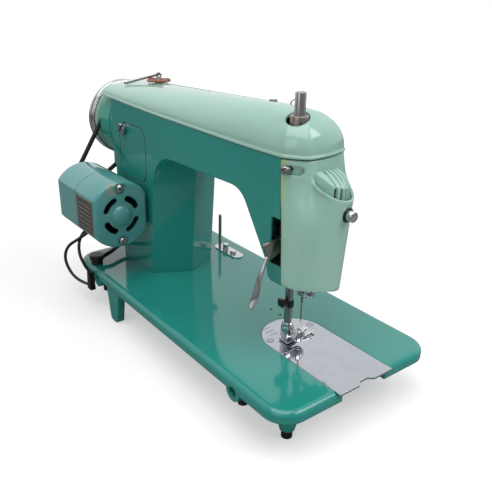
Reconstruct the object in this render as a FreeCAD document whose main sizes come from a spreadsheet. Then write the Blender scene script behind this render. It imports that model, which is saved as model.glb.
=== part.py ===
import FreeCAD
import Part
import math
import os
import re
import Sketcher

# A household sewing machine with a cast bed and arm, in millimetres.
# It is drawn from the middle of the bed's top face: +X to the hand wheel, +Y to the motor, +Z up.
# Each finished piece then moves so that the origin is under the middle of the whole machine.
sizes = {
    # bed
    "bed_length": 371,
    "bed_width": 178,
    "bed_corner": 22,
    "bed_height": 48,
    "deck": 5,
    "rim_depth": 10,
    "rim_wall": 8,
    "rim_round": 5.5,
    "skirt_inset": 33,
    "skirt_wall": 5,
    "skirt_depth": 24,
    "leg_x": -157,
    "leg_front_x": -136,
    "leg_inset": 32,
    "leg_top_radius": 15,
    "leg_foot_radius": 6.5,
    "foot_radius": 4.8,
    "foot_height": 8,
    "blade_x": 95,
    "blade_inset": 5,
    "blade_top": 15,
    "blade_foot": 8,
    "blade_thick": 8,
    "blade_round": 5,
    "oil_hole_radius": 1.5,
    "oil_hole_x": -56.8,
    "oil_hole_y": -12.7,
    "oil_hole_pitch": 13.6,
    # hinge sockets in the rear rim
    "socket_near_x": -123,
    "socket_far_x": 131,
    "socket_z": -11,
    "socket_radius": 4.75,
    "socket_wall": 4,
    "socket_depth": 26,
    "socket_inset": 0.5,
    "set_screw_inset": 12,
    "set_screw_radius": 2.5,
    "set_screw_head_radius": 4.6,
    "set_screw_head": 7,
    # plates over the shuttle
    "plate_half": 31.35,
    "plate_thick": 2.2,
    "plate_arc_x": -100.35,
    "plate_joint_x": -117,
    "plate_gap": 0.35,
    "slide_thick": 1.8,
    "slide_end_x": -188,
    "grip_half": 9,
    "grip_depth": 3.7,
    "ledge": 6,
    "well_end_x": -80,
    "plate_screw_x": -94,
    "plate_screw_y": 24.5,
    "plate_screw_radius": 3.2,
    "needle_hole_radius": 1.2,
    # pillar
    "pillar_rear_y": 41,
    "pillar_front_y": -37,
    "pillar_wheel_base_x": 154,
    "pillar_wheel_top_x": 168,
    "pillar_edge_base_x": 90,
    "pillar_edge_top_x": 79,
    "prow_base_x": 68.5,
    "prow_top_x": 57.5,
    "prow_y": 3,
    "wall": 5,
    # arm and head
    "arm_low_z": 137,
    "arm_join_z": 107,
    "throat_fillet": 29,
    "throat_radius": 30.45,
    "throat_fillet_x": 50,
    "head_rear_y": 33,
    "head_front_y": -31,
    "head_knee_x": -46,
    "head_knee_radius": 24,
    "head_shoulder_x": -66,
    "head_shoulder_z": 126,
    "head_heel_x": -94,
    "head_heel_z": 82,
    "head_toe_radius": 8,
    "head_toe_start": 9.6,
    "head_toe_end": 1.6,
    "head_low_z": 66,
    "joint_top_x": -106,
    "joint_low_x": -113,
    "joint_gap": 0.3,
    "cover_edge_wheel": 179,
    "cover_edge_mid": 175.5,
    "cover_edge_head": 172.6,
    "cover_mid_x": 60,
    "cover_head_x": -60,
    "web_low_z": 158,
    "web_high_z": 168,
    "web_x": -96,
    "lifter_slot_low": 82,
    "lifter_slot_high": 123,
    "lifter_slot_x": -99,
    # covers
    "cover_end_x": 188,
    "crown_rise_wheel": 14,
    "crown_rise_mid": 24,
    "crown_rise_head": 32.7,
    "guide_proud": 0.8,
    "cover_lip": 4,
    "cover_wall": 2.5,
    "nose_x": -145.4,
    "nose_top_x": -125,
    "nose_round": 31,
    "nose_radius": 80,
    "crease_top_x": -124,
    "crease_rear_y": 19.5,
    "crease_round": 22.5,
    "crease_front_x": -117.5,
    "crease_front_y": -25,
    "crease_lip_x": -129.5,
    "crease_low_x": -127,
    "front_low_x": -122,
    "low_rear_y": 30,
    "lip_rear_y": 28,
    "low_front_y": -24,
    "lip_front_y": -29,
    "low_radius": 30.5,
    "lip_radius": 31,
    "side_round": 40,
    "lip_z": 141,
    "brow_z": 165,
    "brow_swell": 1.5,
    "face_low_z": 66,
    "jaw_y": 5,
    "jaw_z": 64.4,
    "chin_y": -22,
    "chin_z": 58.5,
    "chin_front_z": 62,
    "face_top_z": 172.1,
    "louvre_count": 5,
    "louvre_pitch": 6.3,
    "louvre_first_y": 10,
    "louvre_slot": 2.6,
    "louvre_low_z": 143,
    "louvre_high_z": 158,
    "face_slot_x": -115.5,
    "face_slot_z": 164,
    "face_slot_half": 3,
    "face_slot_radius": 3.6,
    "face_screw_reach": 35,
    "face_screw_radius": 4.55,
    "lamp_x": -117,
    "lamp_y": 1,
    "lamp_cup_radius": 8.4,
    "switch_y": -6.5,
    "switch_z": 129.5,
    "switch_radius": 4.6,
    "switch_end_x": -151.5,
    "switch_inner_x": -138.5,
    # shafts and bars
    "shaft_y": 3,
    "shaft_z": 148,
    "shaft_radius": 5.5,
    "bush_wall": 3,
    "running_fit": 0.05,
    "clearance": 0.3,
    "crank_radius": 18,
    "crank_throw": 15,
    "crank_near_x": -88,
    "crank_far_x": -78,
    "front_bush_x": -62,
    "front_bush_length": 14,
    "boss_start_x": 150,
    "boss_end_x": 178,
    "boss_radius": 37.5,
    "end_plate_radius": 37,
    "end_plate_x": 188,
    "needle_x": -103,
    "needle_y": -2.8,
    "presser_y": 13,
    "bar_radius": 3.5,
    "bar_bush_wall": 1.3,
    "bar_bush_low": 70,
    "bar_bush_high": 90,
    "needle_tip_z": 13,
    "needle_radius": 0.7,
    "needle_clamp_low": 42,
    "needle_clamp_high": 53,
    "needle_clamp_radius": 5.4,
    "needle_clamp_screw": 14,
    "needle_bar_drop": 10.3,
    "link_far_x": -90.6,
    "link_stud_z": 130,
    "needle_shank_length": 8,
    "needle_shank_radius": 1.05,
    "needle_taper": 2,
    "presser_bar_low": 17,
    "presser_bar_top": 164,
    "foot_clamp_radius": 5.6,
    "foot_clamp_length": 8.4,
    "shank_half": 4.4,
    "toe_half": 5.95,
    "thumb_radius": 6.2,
    "thumb_length": 5.5,
    "thumb_y": 10,
    "thumb_z": 10,
    "sleeve_radius": 6.6,
    "pin_radius": 4.45,
    "pin_rise": 15.7,
    "pin_seat": 5,
    "ring_radius": 7.8,
    "ring_drop": 2.3,
    "ring_length": 16.7,
    "ring_travel": 3.3,
    "collar_hole": 9.6,
    "lifter_pivot_y": 22,
    "lifter_pivot_z": 100,
    "lifter_pin_radius": 2.5,
    "lifter_hub_radius": 5,
    "lifter_neck": 3.15,
    "lifter_bend_y": 36.5,
    "lifter_bend_z": 81.5,
    "lifter_spoon_z": 53,
    "lifter_tip_y": 52.2,
    "lifter_tip_z": 48,
    "lifter_thick": 3,
    "lifter_near_x": -105.8,
    "lifter_far_x": -101.6,
    "take_up_y": -16,
    "take_up_z": 146,
    "take_up_near_x": -98.8,
    "take_up_far_x": -95.4,
    "take_up_eye_y": -42,
    "take_up_eye_z": 140,
    "take_up_pin_radius": 2.5,
    "take_up_root": 3.9,
    "take_up_half": 2.8,
    "take_up_hub_radius": 5.6,
    "take_up_eye_radius": 4.2,
    # hand wheel
    "wheel_start_x": 189.5,
    "wheel_flange": 35,
    "belt_x": 199,
    "belt_radius": 2.5,
    "belt_on_wheel": 31.5,
    "belt_on_pulley": 9.5,
    "wheel_body_x": 204,
    "wheel_radius": 41,
    "rim_start_x": 211,
    "wheel_end_x": 220,
    "rim_radius": 43.3,
    "knob_radius": 18,
    "knob_start_x": 221.5,
    "knob_end_x": 236,
    "wheel_dish_x": 214,
    "wheel_hub_radius": 13,
    # motor
    "motor_y": 74.7,
    "motor_z": 74.9,
    "motor_half_width": 29.5,
    "motor_radius": 35.5,
    "motor_front_x": 88.5,
    "motor_seam_x": 134,
    "motor_back_x": 182,
    "motor_wall": 3,
    "motor_edge": 4,
    "motor_dome_radius": 11.5,
    "motor_dome": 4,
    "motor_slot_in": 14.5,
    "motor_slot_out": 21,
    "motor_slot_bridge": 3.5,
    "motor_screw_rise": 28.5,
    "motor_screw_radius": 3.4,
    "motor_screw_crown": 2,
    "motor_shaft_radius": 3,
    "armature_radius": 17,
    "armature_start_x": 112,
    "armature_end_x": 160,
    "pulley_radius": 12,
    "pulley_half": 6,
    "bracket_start_x": 112,
    "bracket_end_x": 148,
    "bracket_low_z": 58,
    "bracket_high_z": 92,
    # rear inspection cover
    "rear_cover_x": 123,
    "rear_cover_z": 128.8,
    "rear_cover_half_x": 28,
    "rear_cover_half_z": 28.8,
    "rear_cover_corner": 13,
    "rear_cover_thick": 2,
    "rear_knob_x": 139,
    "rear_knob_z": 151,
    "rear_knob_radius": 6,
    "rear_knob_length": 5.5,
    # drop feed panel and spool pins
    "panel_x": 89.5,
    "panel_inset": 26,
    "panel_half": 16,
    "panel_radius": 7.5,
    "panel_thick": 1.5,
    "raise_x": 96,
    "lower_x": 81,
    "button_radius": 3.6,
    "button_high": 8,
    "button_low": 4.5,
    "button_depth": 12,
    "bed_pin_x": 108,
    "bed_pin_radius": 1.8,
    "bed_pin_top": 42,
    "felt_x": 146,
    "felt_y": -7,
    "felt_radius": 13,
    "felt_rise": 1.27,
    "felt_thick": 2.2,
    "spool_pin_radius": 1.7,
    "spool_pin_length": 39,
    "spool_pin_rise": 7.6,
    "spool_hinge_radius": 0.9,
    "spool_ear": 4,
    "spool_stem": 3,
    "spool_swing": 59,
    "spool_droop": 15,
    # shuttle, feed and tension
    "lower_z": -25,
    "lower_radius": 4.5,
    "lower_start_x": 88,
    "near_bearing_x": -70,
    "far_bearing_x": 70,
    "hook_near_x": -122.5,
    "hook_far_x": -113.5,
    "hook_radius": 17,
    "hook_notch_z": 10.2,
    "race_radius": 21,
    "race_ear_y": 17.2,
    "race_near_x": -124.5,
    "race_far_x": -111.5,
    "case_radius": 13.2,
    "case_finger_z": 10.6,
    "case_near_x": -137.5,
    "bobbin_radius": 10.4,
    "bobbin_core": 4.4,
    "bobbin_flange": 1,
    "post_radius": 2.8,
    "feed_half_pitch": 5.4,
    "feed_row_half": 2,
    "feed_rear_y": 9,
    "feed_front_y": -14,
    "feed_depth": 9,
    "feed_drop": 0.8,
    "feed_bar_end_x": 40,
    "tension_x": -91,
    "tension_z": 116,
    "tension_disc_radius": 11,
    "tension_stud_radius": 2.5,
    "tension_knob_radius": 10,
    "stitch_x": 125,
    "stitch_z": 95,
    "stitch_pivot_y": -26,
    "stitch_reach": 32,
    "stitch_rod_radius": 2.5,
    "stitch_knob_radius": 6.5,
    # wiring
    "block_x": 148,
    "block_inset": 9,
    "block_radius": 8,
    "block_neck": 6.4,
    "block_height": 11,
    "plug_x": 141,
    "plug_half_x": 4.5,
    "plug_neck_x": 2.7,
    "plug_thick": 6,
    "plug_high_z": -5,
    "plug_low_z": -26,
    "lead_radius": 1.7,
    "block_lead_radius": 2.4,
}

# places that follow from the sizes
derived = {
    # set in from the bed's long edges
    "leg_y": "bed_width / 2 - leg_inset",
    "blade_y": "bed_width / 2 - blade_inset",
    "set_screw_y": "bed_width / 2 - set_screw_inset",
    "block_y": "bed_width / 2 - block_inset",
    "panel_y": "panel_inset - bed_width / 2",
    # the cover's crown over its edge
    "crown_wheel": "cover_edge_wheel + crown_rise_wheel",
    "crown_mid": "cover_edge_mid + crown_rise_mid",
    "crown_head": "cover_edge_head + crown_rise_head",
    # under and over the head's crown
    "needle_bar_top": "crown_head - needle_bar_drop",
    "pin_top": "crown_head + pin_rise",
    "ring_top": "crown_head - ring_drop",
    "ring_low": "ring_top - ring_length",
    "sleeve_top": "ring_low - ring_travel",
    "pin_low": "sleeve_top - pin_seat",
    # where the crown falls towards the hand wheel
    "crown_slope": "(crown_mid - crown_wheel) / (cover_end_x - cover_mid_x)",
    "felt_z": "crown_wheel + crown_slope * (cover_end_x - felt_x) + felt_rise",
    "spool_pin_z": "felt_z + spool_pin_rise",
    "guide_slope": "(crown_head - crown_mid) / (cover_mid_x - cover_head_x)",
    "guide_z": "crown_head - guide_slope * 2 * wall + guide_proud",
}

document = FreeCAD.newDocument("SewingMachine")
sheet = document.addObject("Spreadsheet::Sheet", "Sizes")
cells = {alias: str(number) for alias, number in sizes.items()}
cells.update({alias: "=" + text for alias, text in derived.items()})
for row, (alias, text) in enumerate(cells.items(), 1):
    sheet.set(f"A{row}", alias)
    sheet.set(f"B{row}", text)
    sheet.setAlias(f"B{row}", alias)
document.recompute()

alias_pattern = re.compile(r"\b(" + "|".join(cells) + r")\b")
places = {}
nodes = []

# how near an edge lies to the face it bounds, and how much of a cord's shorter run a bend may take
touch = 0.01
bend_share = 0.45

# the whole machine's middle, seen from the middle of the bed
frame_x = "-(slide_end_x + knob_end_x) / 2"
frame_y = "-(motor_y + motor_half_width - bed_width / 2) / 2"
frame_z = "bed_height"


def formula(text):
    return alias_pattern.sub(r"Sizes.\1", str(text))


def value(text):
    return float(sheet.evalExpression(formula(text)))


def bind(item, formulas):
    for path, text in formulas.items():
        item.setExpression(path, formula(text))


def put(item, x=0, y=0, z=0):
    places[item.Name] = (x, y, z)
    bind(item, {"Placement.Base.x": x, "Placement.Base.y": y, "Placement.Base.z": z})


def node(label, item):
    x, y, z = places.get(item.Name, (0, 0, 0))
    put(item, f"({x}) + {frame_x}", f"({y}) + {frame_y}", f"({z}) + {frame_z}")
    item.Label = label
    nodes.append(item)
    return item


turns = {
    "x": FreeCAD.Rotation(FreeCAD.Vector(0, 1, 0), 90),
    "y": FreeCAD.Rotation(FreeCAD.Vector(1, 0, 0), -90),
    "z": FreeCAD.Rotation(),
}


def box(name, low, high):
    item = document.addObject("Part::Box", name)
    spans = [f"({top}) - ({bottom})" for bottom, top in zip(low, high)]
    bind(item, dict(zip(("Length", "Width", "Height"), spans)))
    put(item, *low)
    return item


def rod(name, radius, start, length, along="z"):
    item = document.addObject("Part::Cylinder", name)
    item.Placement = FreeCAD.Placement(FreeCAD.Vector(), turns[along])
    bind(item, {"Radius": radius, "Height": length})
    put(item, *start)
    return item


def cone(name, start_radius, end_radius, start, length, along="z"):
    item = document.addObject("Part::Cone", name)
    item.Placement = FreeCAD.Placement(FreeCAD.Vector(), turns[along])
    bind(item, {"Radius1": start_radius, "Radius2": end_radius, "Height": length})
    put(item, *start)
    return item


def join(name, *items):
    item = document.addObject("Part::MultiFuse", name)
    item.Shapes = list(items)
    return item


def trim(name, base, *tools):
    item = document.addObject("Part::Cut", name)
    item.Base = base
    item.Tool = tools[0] if len(tools) == 1 else join(name + "Tools", *tools)
    return item


def common(name, first, second):
    item = document.addObject("Part::Common", name)
    item.Base = first
    item.Tool = second
    return item


def group(name, *items):
    item = document.addObject("Part::Compound", name)
    item.Links = list(items)
    return item


def sleeve(name, inner, outer, start, length, along="z"):
    return trim(
        name,
        rod(name + "Outside", outer, start, length, along),
        rod(name + "Bore", inner, start, length, along),
    )


def new_body(name, x=0, y=0, z=0):
    body = document.addObject("PartDesign::Body", name)
    put(body, x, y, z)
    return body


def new_sketch(body, plane, lift=0):
    sketch = body.newObject("Sketcher::SketchObject", body.Name + "Sketch")
    role = plane + "_Plane"
    support = next(item for item in body.Origin.OriginFeatures if item.Role == role)
    sketch.AttachmentSupport = [(support, "")]
    sketch.MapMode = "FlatFace"
    bind(sketch, {"AttachmentOffset.Base.z": lift})
    return sketch


def arc_between(start, end, radius):
    # a positive radius turns to the left on the way from start to end
    chord = end - start
    middle = (start + end) * 0.5
    side = FreeCAD.Vector(-chord.y, chord.x, 0).normalize()
    rise = math.sqrt(max(radius * radius - chord.Length ** 2 / 4, 0))
    centre = middle + side * math.copysign(rise, radius)
    first, last = (start, end) if radius > 0 else (end, start)
    angles = [math.atan2(p.y - centre.y, p.x - centre.x) for p in (first, last)]
    circle = Part.Circle(centre, FreeCAD.Vector(0, 0, 1), abs(radius))
    return Part.ArcOfCircle(circle, *angles)


def draw(sketch, points):
    # each point is x, y and, where an arc arrives at it, that arc's radius
    corners = [FreeCAD.Vector(value(point[0]), value(point[1]), 0) for point in points]
    ends = []
    for index, corner in enumerate(corners):
        following = (index + 1) % len(points)
        if len(points[following]) == 3:
            radius = value(points[following][2])
            edge = sketch.addGeometry(arc_between(corner, corners[following], radius))
            ends.append((edge, 1, 2) if radius > 0 else (edge, 2, 1))
        else:
            edge = sketch.addGeometry(Part.LineSegment(corner, corners[following]))
            ends.append((edge, 1, 2))
    for index, point in enumerate(points):
        edge, start, end = ends[index]
        last_edge, _, last_end = ends[index - 1]
        sketch.addConstraint(Sketcher.Constraint("Coincident", last_edge, last_end, edge, start))
        for kind, text in zip(("DistanceX", "DistanceY"), point):
            rule = sketch.addConstraint(Sketcher.Constraint(kind, edge, start, value(text)))
            sketch.setExpression(f"Constraints[{rule}]", formula(text))
        if len(point) == 3:
            rule = sketch.addConstraint(Sketcher.Constraint("Radius", last_edge, abs(value(point[2]))))
            sketch.setExpression(f"Constraints[{rule}]", formula(f"abs({point[2]})"))


def prism(name, plane, points, low, high):
    # an outline on a plane through the bed's middle, filled from low to high across it
    body = new_body(name)
    sketch = new_sketch(body, plane, f"-({high})" if plane == "XZ" else low)
    draw(sketch, points)
    pad = body.newObject("PartDesign::Pad", name + "Pad")
    pad.Profile = sketch
    bind(pad, {"Length": f"({high}) - ({low})"})
    body.Tip = pad
    return body


def turned(name, points, along, x=0, y=0, z=0):
    # each point is a distance along the axis and a radius
    body = new_body(name, x, y, z)
    sketch = new_sketch(body, "XY" if along == "y" else "XZ")
    if along == "x":
        draw(sketch, points)
    else:
        draw(sketch, [(point[1], point[0]) + tuple(point[2:]) for point in points])
    turn = body.newObject("PartDesign::Revolution", name + "Turn")
    turn.Profile = sketch
    turn.ReferenceAxis = (sketch, ["H_Axis" if along == "x" else "V_Axis"])
    turn.Angle = 360
    body.Tip = turn
    return body


def lofted(name, plane, sections):
    # sections are pairs: a place across the plane and an outline there
    body = new_body(name)
    sketches = []
    for lift, points in sections:
        sketch = new_sketch(body, plane, lift)
        draw(sketch, points)
        sketches.append(sketch)
    loft = body.newObject("PartDesign::AdditiveLoft", name + "Loft")
    loft.Profile = sketches[0]
    loft.Sections = sketches[1:]
    loft.Ruled = True
    body.Tip = loft
    return body


def rounded(half_x, half_y, radius, x=0, y=0):
    def at(along, across):
        return f"({x}) + {along}", f"({y}) + {across}"

    long_x, long_y = f"({half_x})", f"({half_y})"
    short_x, short_y = f"(({half_x}) - ({radius}))", f"(({half_y}) - ({radius}))"
    return [
        at(f"-1 * {short_x}", f"-1 * {long_y}") + (radius,),
        at(short_x, f"-1 * {long_y}"),
        at(long_x, f"-1 * {short_y}") + (radius,),
        at(long_x, short_y),
        at(short_x, long_y) + (radius,),
        at(f"-1 * {short_x}", long_y),
        at(f"-1 * {long_x}", short_y) + (radius,),
        at(f"-1 * {long_x}", f"-1 * {short_y}"),
    ]


def slot_outline(half, radius, x, y):
    return [
        (f"({x}) - ({half})", f"({y}) - ({radius})", f"({radius})"),
        (f"({x}) + ({half})", f"({y}) - ({radius})"),
        (f"({x}) + ({half}) + ({radius})", y, f"({radius})"),
        (f"({x}) + ({half})", f"({y}) + ({radius})", f"({radius})"),
        (f"({x}) - ({half})", f"({y}) + ({radius})"),
        (f"({x}) - ({half}) - ({radius})", y, f"({radius})"),
    ]


def flat_sided(radius, half, x, y):
    # a circle with two straight sides
    flat = f"sqrt(({radius}) * ({radius}) - ({half}) * ({half}))"
    return [
        (f"{x} + ({half})", f"{y} - {flat}", radius),
        (f"{x} + ({half})", f"{y} + {flat}"),
        (f"{x} - ({half})", f"{y} + {flat}", radius),
        (f"{x} - ({half})", f"{y} - {flat}"),
    ]


def soften(body, radius, chosen):
    # rounds the chosen edges of the body's last feature
    document.recompute()
    base = body.Tip
    names = [f"Edge{i}" for i, edge in enumerate(base.Shape.Edges, 1) if chosen(edge.BoundBox)]
    fillet = body.newObject("PartDesign::Fillet", body.Name + "Fillet")
    fillet.Base = (base, names)
    bind(fillet, {"Radius": radius})
    body.Tip = fillet
    return body


def make_bed():
    half_x, half_y = "bed_length / 2", "bed_width / 2"
    deck = prism("BedDeck", "XY", rounded(half_x, half_y, "bed_corner"), "-rim_depth", 0)
    soften(deck, "rim_round", lambda bounds: bounds.ZMin > -touch)
    hollow = prism(
        "BedHollow",
        "XY",
        rounded(f"{half_x} - rim_wall", f"{half_y} - rim_wall", "bed_corner - rim_wall"),
        "-rim_depth - clearance",
        "-deck",
    )
    inset = "skirt_inset + skirt_wall"
    skirt = trim(
        "BedSkirt",
        prism(
            "SkirtOutside",
            "XY",
            rounded(f"{half_x} - skirt_inset", f"{half_y} - skirt_inset", "bed_corner"),
            "-skirt_depth",
            "-deck",
        ),
        prism(
            "SkirtInside",
            "XY",
            rounded(f"{half_x} - ({inset})", f"{half_y} - ({inset})", "bed_corner - skirt_wall"),
            "-skirt_depth",
            "-deck",
        ),
    )
    solids = [trim("BedShell", deck, hollow), skirt]
    legs = (("leg_x", "leg_y"), ("leg_front_x", "-leg_y"))
    for side, sign, (leg_x, leg_y) in zip(("Rear", "Front"), ("1", "-1"), legs):
        solids.append(
            cone(
                f"Leg{side}",
                "leg_foot_radius",
                "leg_top_radius",
                (leg_x, leg_y, "foot_height - bed_height"),
                "bed_height - foot_height - deck",
            )
        )
        solids.append(
            prism(
                f"Blade{side}",
                "XZ",
                [
                    ("blade_x - blade_foot + blade_round", "-bed_height", "blade_round"),
                    ("blade_x + blade_foot - blade_round", "-bed_height"),
                    ("blade_x + blade_foot", "blade_round - bed_height", "blade_round"),
                    ("blade_x + blade_top", "-deck"),
                    ("blade_x - blade_top", "-deck"),
                    ("blade_x - blade_foot", "blade_round - bed_height"),
                ],
                f"{sign} * blade_y - blade_thick / 2",
                f"{sign} * blade_y + blade_thick / 2",
            )
        )
    socket_end = f"{half_y} - socket_inset - socket_depth"
    for place, x in (("Near", "socket_near_x"), ("Far", "socket_far_x")):
        solids.append(
            rod(
                f"Socket{place}",
                "socket_radius + socket_wall",
                (x, f"{socket_end} - socket_wall", "socket_z"),
                "socket_depth + socket_wall",
                "y",
            )
        )
    bearing = "lower_radius + wall"
    for place, x in (("Near", "near_bearing_x"), ("Far", "far_bearing_x")):
        solids.append(
            box(
                f"LowerBearing{place}",
                (f"{x} - wall", f"needle_y - ({bearing})", f"lower_z - ({bearing})"),
                (f"{x} + wall", f"needle_y + {bearing}", "-deck"),
            )
        )
    cuts = [
        rod(
            "LowerBore",
            "lower_radius + running_fit",
            ("hook_far_x", "needle_y", "lower_z"),
            "lower_start_x - hook_far_x",
            "x",
        ),
        prism(
            "PlateRecess",
            "XY",
            [
                ("slide_end_x", "-plate_half"),
                ("plate_arc_x", "-plate_half"),
                ("plate_arc_x + plate_half", "0", "plate_half"),
                ("plate_arc_x", "plate_half", "plate_half"),
                ("slide_end_x", "plate_half"),
            ],
            "-plate_thick",
            "deck",
        ),
        box(
            "ShuttleWell",
            ("slide_end_x", "-plate_half + ledge", "-bed_height"),
            ("well_end_x", "plate_half - ledge", "deck"),
        ),
        box(
            "PillarWell",
            ("pillar_edge_base_x + 3 * wall", "pillar_front_y + 3 * wall", "-rim_depth"),
            ("pillar_wheel_base_x - 3 * wall", "pillar_rear_y - 3 * wall", "deck"),
        ),
        rod("BedPinHole", "bed_pin_radius", ("bed_pin_x", "panel_y", "-deck"), "2 * deck"),
    ]
    for place, x in (("Near", "socket_near_x"), ("Far", "socket_far_x")):
        cuts.append(
            rod(
                f"SocketBore{place}",
                "socket_radius",
                (x, socket_end, "socket_z"),
                "2 * socket_depth",
                "y",
            )
        )
        cuts.append(
            rod(
                f"SetScrewHole{place}",
                "set_screw_radius",
                (x, "set_screw_y", "socket_z - socket_radius - 2 * socket_wall"),
                "socket_radius + 2 * socket_wall",
            )
        )
    for place, sign in (("Near", "-1"), ("Far", "1")):
        cuts.append(
            rod(
                f"OilHole{place}",
                "oil_hole_radius",
                (f"oil_hole_x + {sign} * oil_hole_pitch / 2", "oil_hole_y", "-2 * deck"),
                "4 * deck",
            )
        )
        cuts.append(
            rod(
                f"PlateScrewHole{place}",
                "plate_screw_radius / 2",
                ("plate_screw_x", f"{sign} * plate_screw_y", "-2 * deck"),
                "4 * deck",
            )
        )
    for place, x in (("Raise", "raise_x"), ("Lower", "lower_x")):
        cuts.append(
            rod(f"{place}Hole", "button_radius + clearance", (x, "panel_y", "-2 * deck"), "4 * deck")
        )
    node("bed_casting", trim("BedCasting", join("BedSolid", *solids), *cuts))

    feet = [
        rod(f"Foot{i}", "foot_radius", (x, y, "-bed_height"), "foot_height")
        for i, (x, y) in enumerate(legs)
    ]
    node("rubber_feet", group("RubberFeet", *feet))

    screws = []
    for i, x in enumerate(("socket_near_x", "socket_far_x")):
        head_z = "socket_z - socket_radius - socket_wall - set_screw_head"
        head = rod(f"SetHead{i}", "set_screw_head_radius", (x, "set_screw_y", head_z), "set_screw_head")
        shank = rod(
            f"SetShank{i}",
            "set_screw_radius",
            (x, "set_screw_y", head_z),
            "set_screw_head + socket_wall",
        )
        screws.append(join(f"SetScrew{i}", head, shank))
    node("hinge_set_screws", group("SetScrews", *screws))


def make_plates():
    half = "plate_half - plate_gap"
    plate = prism(
        "NeedlePlateBlank",
        "XY",
        [
            ("plate_joint_x", f"-({half})"),
            ("plate_arc_x", f"-({half})"),
            (f"plate_arc_x + {half}", "0", half),
            ("plate_arc_x", half, half),
            ("plate_joint_x", half),
        ],
        "-plate_thick",
        0,
    )
    cuts = [
        rod(
            "NeedleHole",
            "needle_hole_radius",
            ("needle_x", "needle_y", "-2 * plate_thick"),
            "4 * plate_thick",
        )
    ]
    for i, sign in enumerate(("1", "-1")):
        middle = f"needle_x + {sign} * feed_half_pitch"
        cuts.append(
            box(
                f"FeedSlot{i}",
                (
                    f"{middle} - feed_row_half - clearance",
                    "feed_front_y - 2 * clearance",
                    "-2 * plate_thick",
                ),
                (f"{middle} + feed_row_half + clearance", "feed_rear_y + 2 * clearance", "2 * plate_thick"),
            )
        )
        cuts.append(
            rod(
                f"PlateScrewSeat{i}",
                "plate_screw_radius",
                ("plate_screw_x", f"{sign} * plate_screw_y", "-plate_thick / 2"),
                "2 * plate_thick",
            )
        )
        cuts.append(
            rod(
                f"PlateScrewBore{i}",
                "plate_screw_radius / 2",
                ("plate_screw_x", f"{sign} * plate_screw_y", "-2 * plate_thick"),
                "4 * plate_thick",
            )
        )
    node("needle_plate", trim("NeedlePlate", plate, *cuts))

    screws = []
    for i, sign in enumerate(("1", "-1")):
        y = f"{sign} * plate_screw_y"
        head = rod(
            f"PlateHead{i}",
            "plate_screw_radius",
            ("plate_screw_x", y, "-plate_thick / 2"),
            "plate_thick / 2",
        )
        shank = rod(f"PlateShank{i}", "plate_screw_radius / 2", ("plate_screw_x", y, "-deck"), "deck")
        slit = box(
            f"PlateSlit{i}",
            ("plate_screw_x - plate_screw_radius", f"{y} - plate_screw_radius / 6", "-plate_thick / 4"),
            ("plate_screw_x + plate_screw_radius", f"{y} + plate_screw_radius / 6", "plate_thick"),
        )
        screws.append(trim(f"PlateScrew{i}", join(f"PlateScrewBlank{i}", head, shank), slit))
    node("needle_plate_screws", group("PlateScrews", *screws))

    slide = prism(
        "SlidePlate",
        "XY",
        [
            ("slide_end_x", f"-({half})"),
            ("plate_joint_x - clearance", f"-({half})"),
            ("plate_joint_x - clearance", half),
            ("slide_end_x", half),
            ("slide_end_x", "grip_half"),
            ("slide_end_x + grip_depth", "grip_half / 2"),
            ("slide_end_x + grip_depth", "-grip_half / 2"),
            ("slide_end_x", "-grip_half"),
        ],
        "-slide_thick",
        0,
    )
    node("slide_plate", slide)


def pillar_outline(wheel_x, edge_x, prow_x, inset):
    rear, front = f"pillar_rear_y - ({inset})", f"pillar_front_y + ({inset})"
    return [
        (f"({wheel_x}) - ({inset})", front),
        (f"({wheel_x}) - ({inset})", rear),
        (f"({edge_x}) + ({inset}) / 2", rear),
        (f"({prow_x}) + 1.3 * ({inset})", "prow_y"),
        (f"({edge_x}) + ({inset}) / 2", front),
    ]


def arm_plan(inset):
    return [
        (f"pillar_wheel_top_x - ({inset})", f"pillar_front_y + ({inset})"),
        (f"pillar_wheel_top_x - ({inset})", f"pillar_rear_y - ({inset})"),
        ("pillar_edge_top_x", f"pillar_rear_y - ({inset})"),
        ("joint_low_x", f"head_rear_y - ({inset})"),
        ("joint_low_x", f"head_front_y + ({inset})"),
        ("pillar_edge_top_x", f"pillar_front_y + ({inset})"),
    ]


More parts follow.
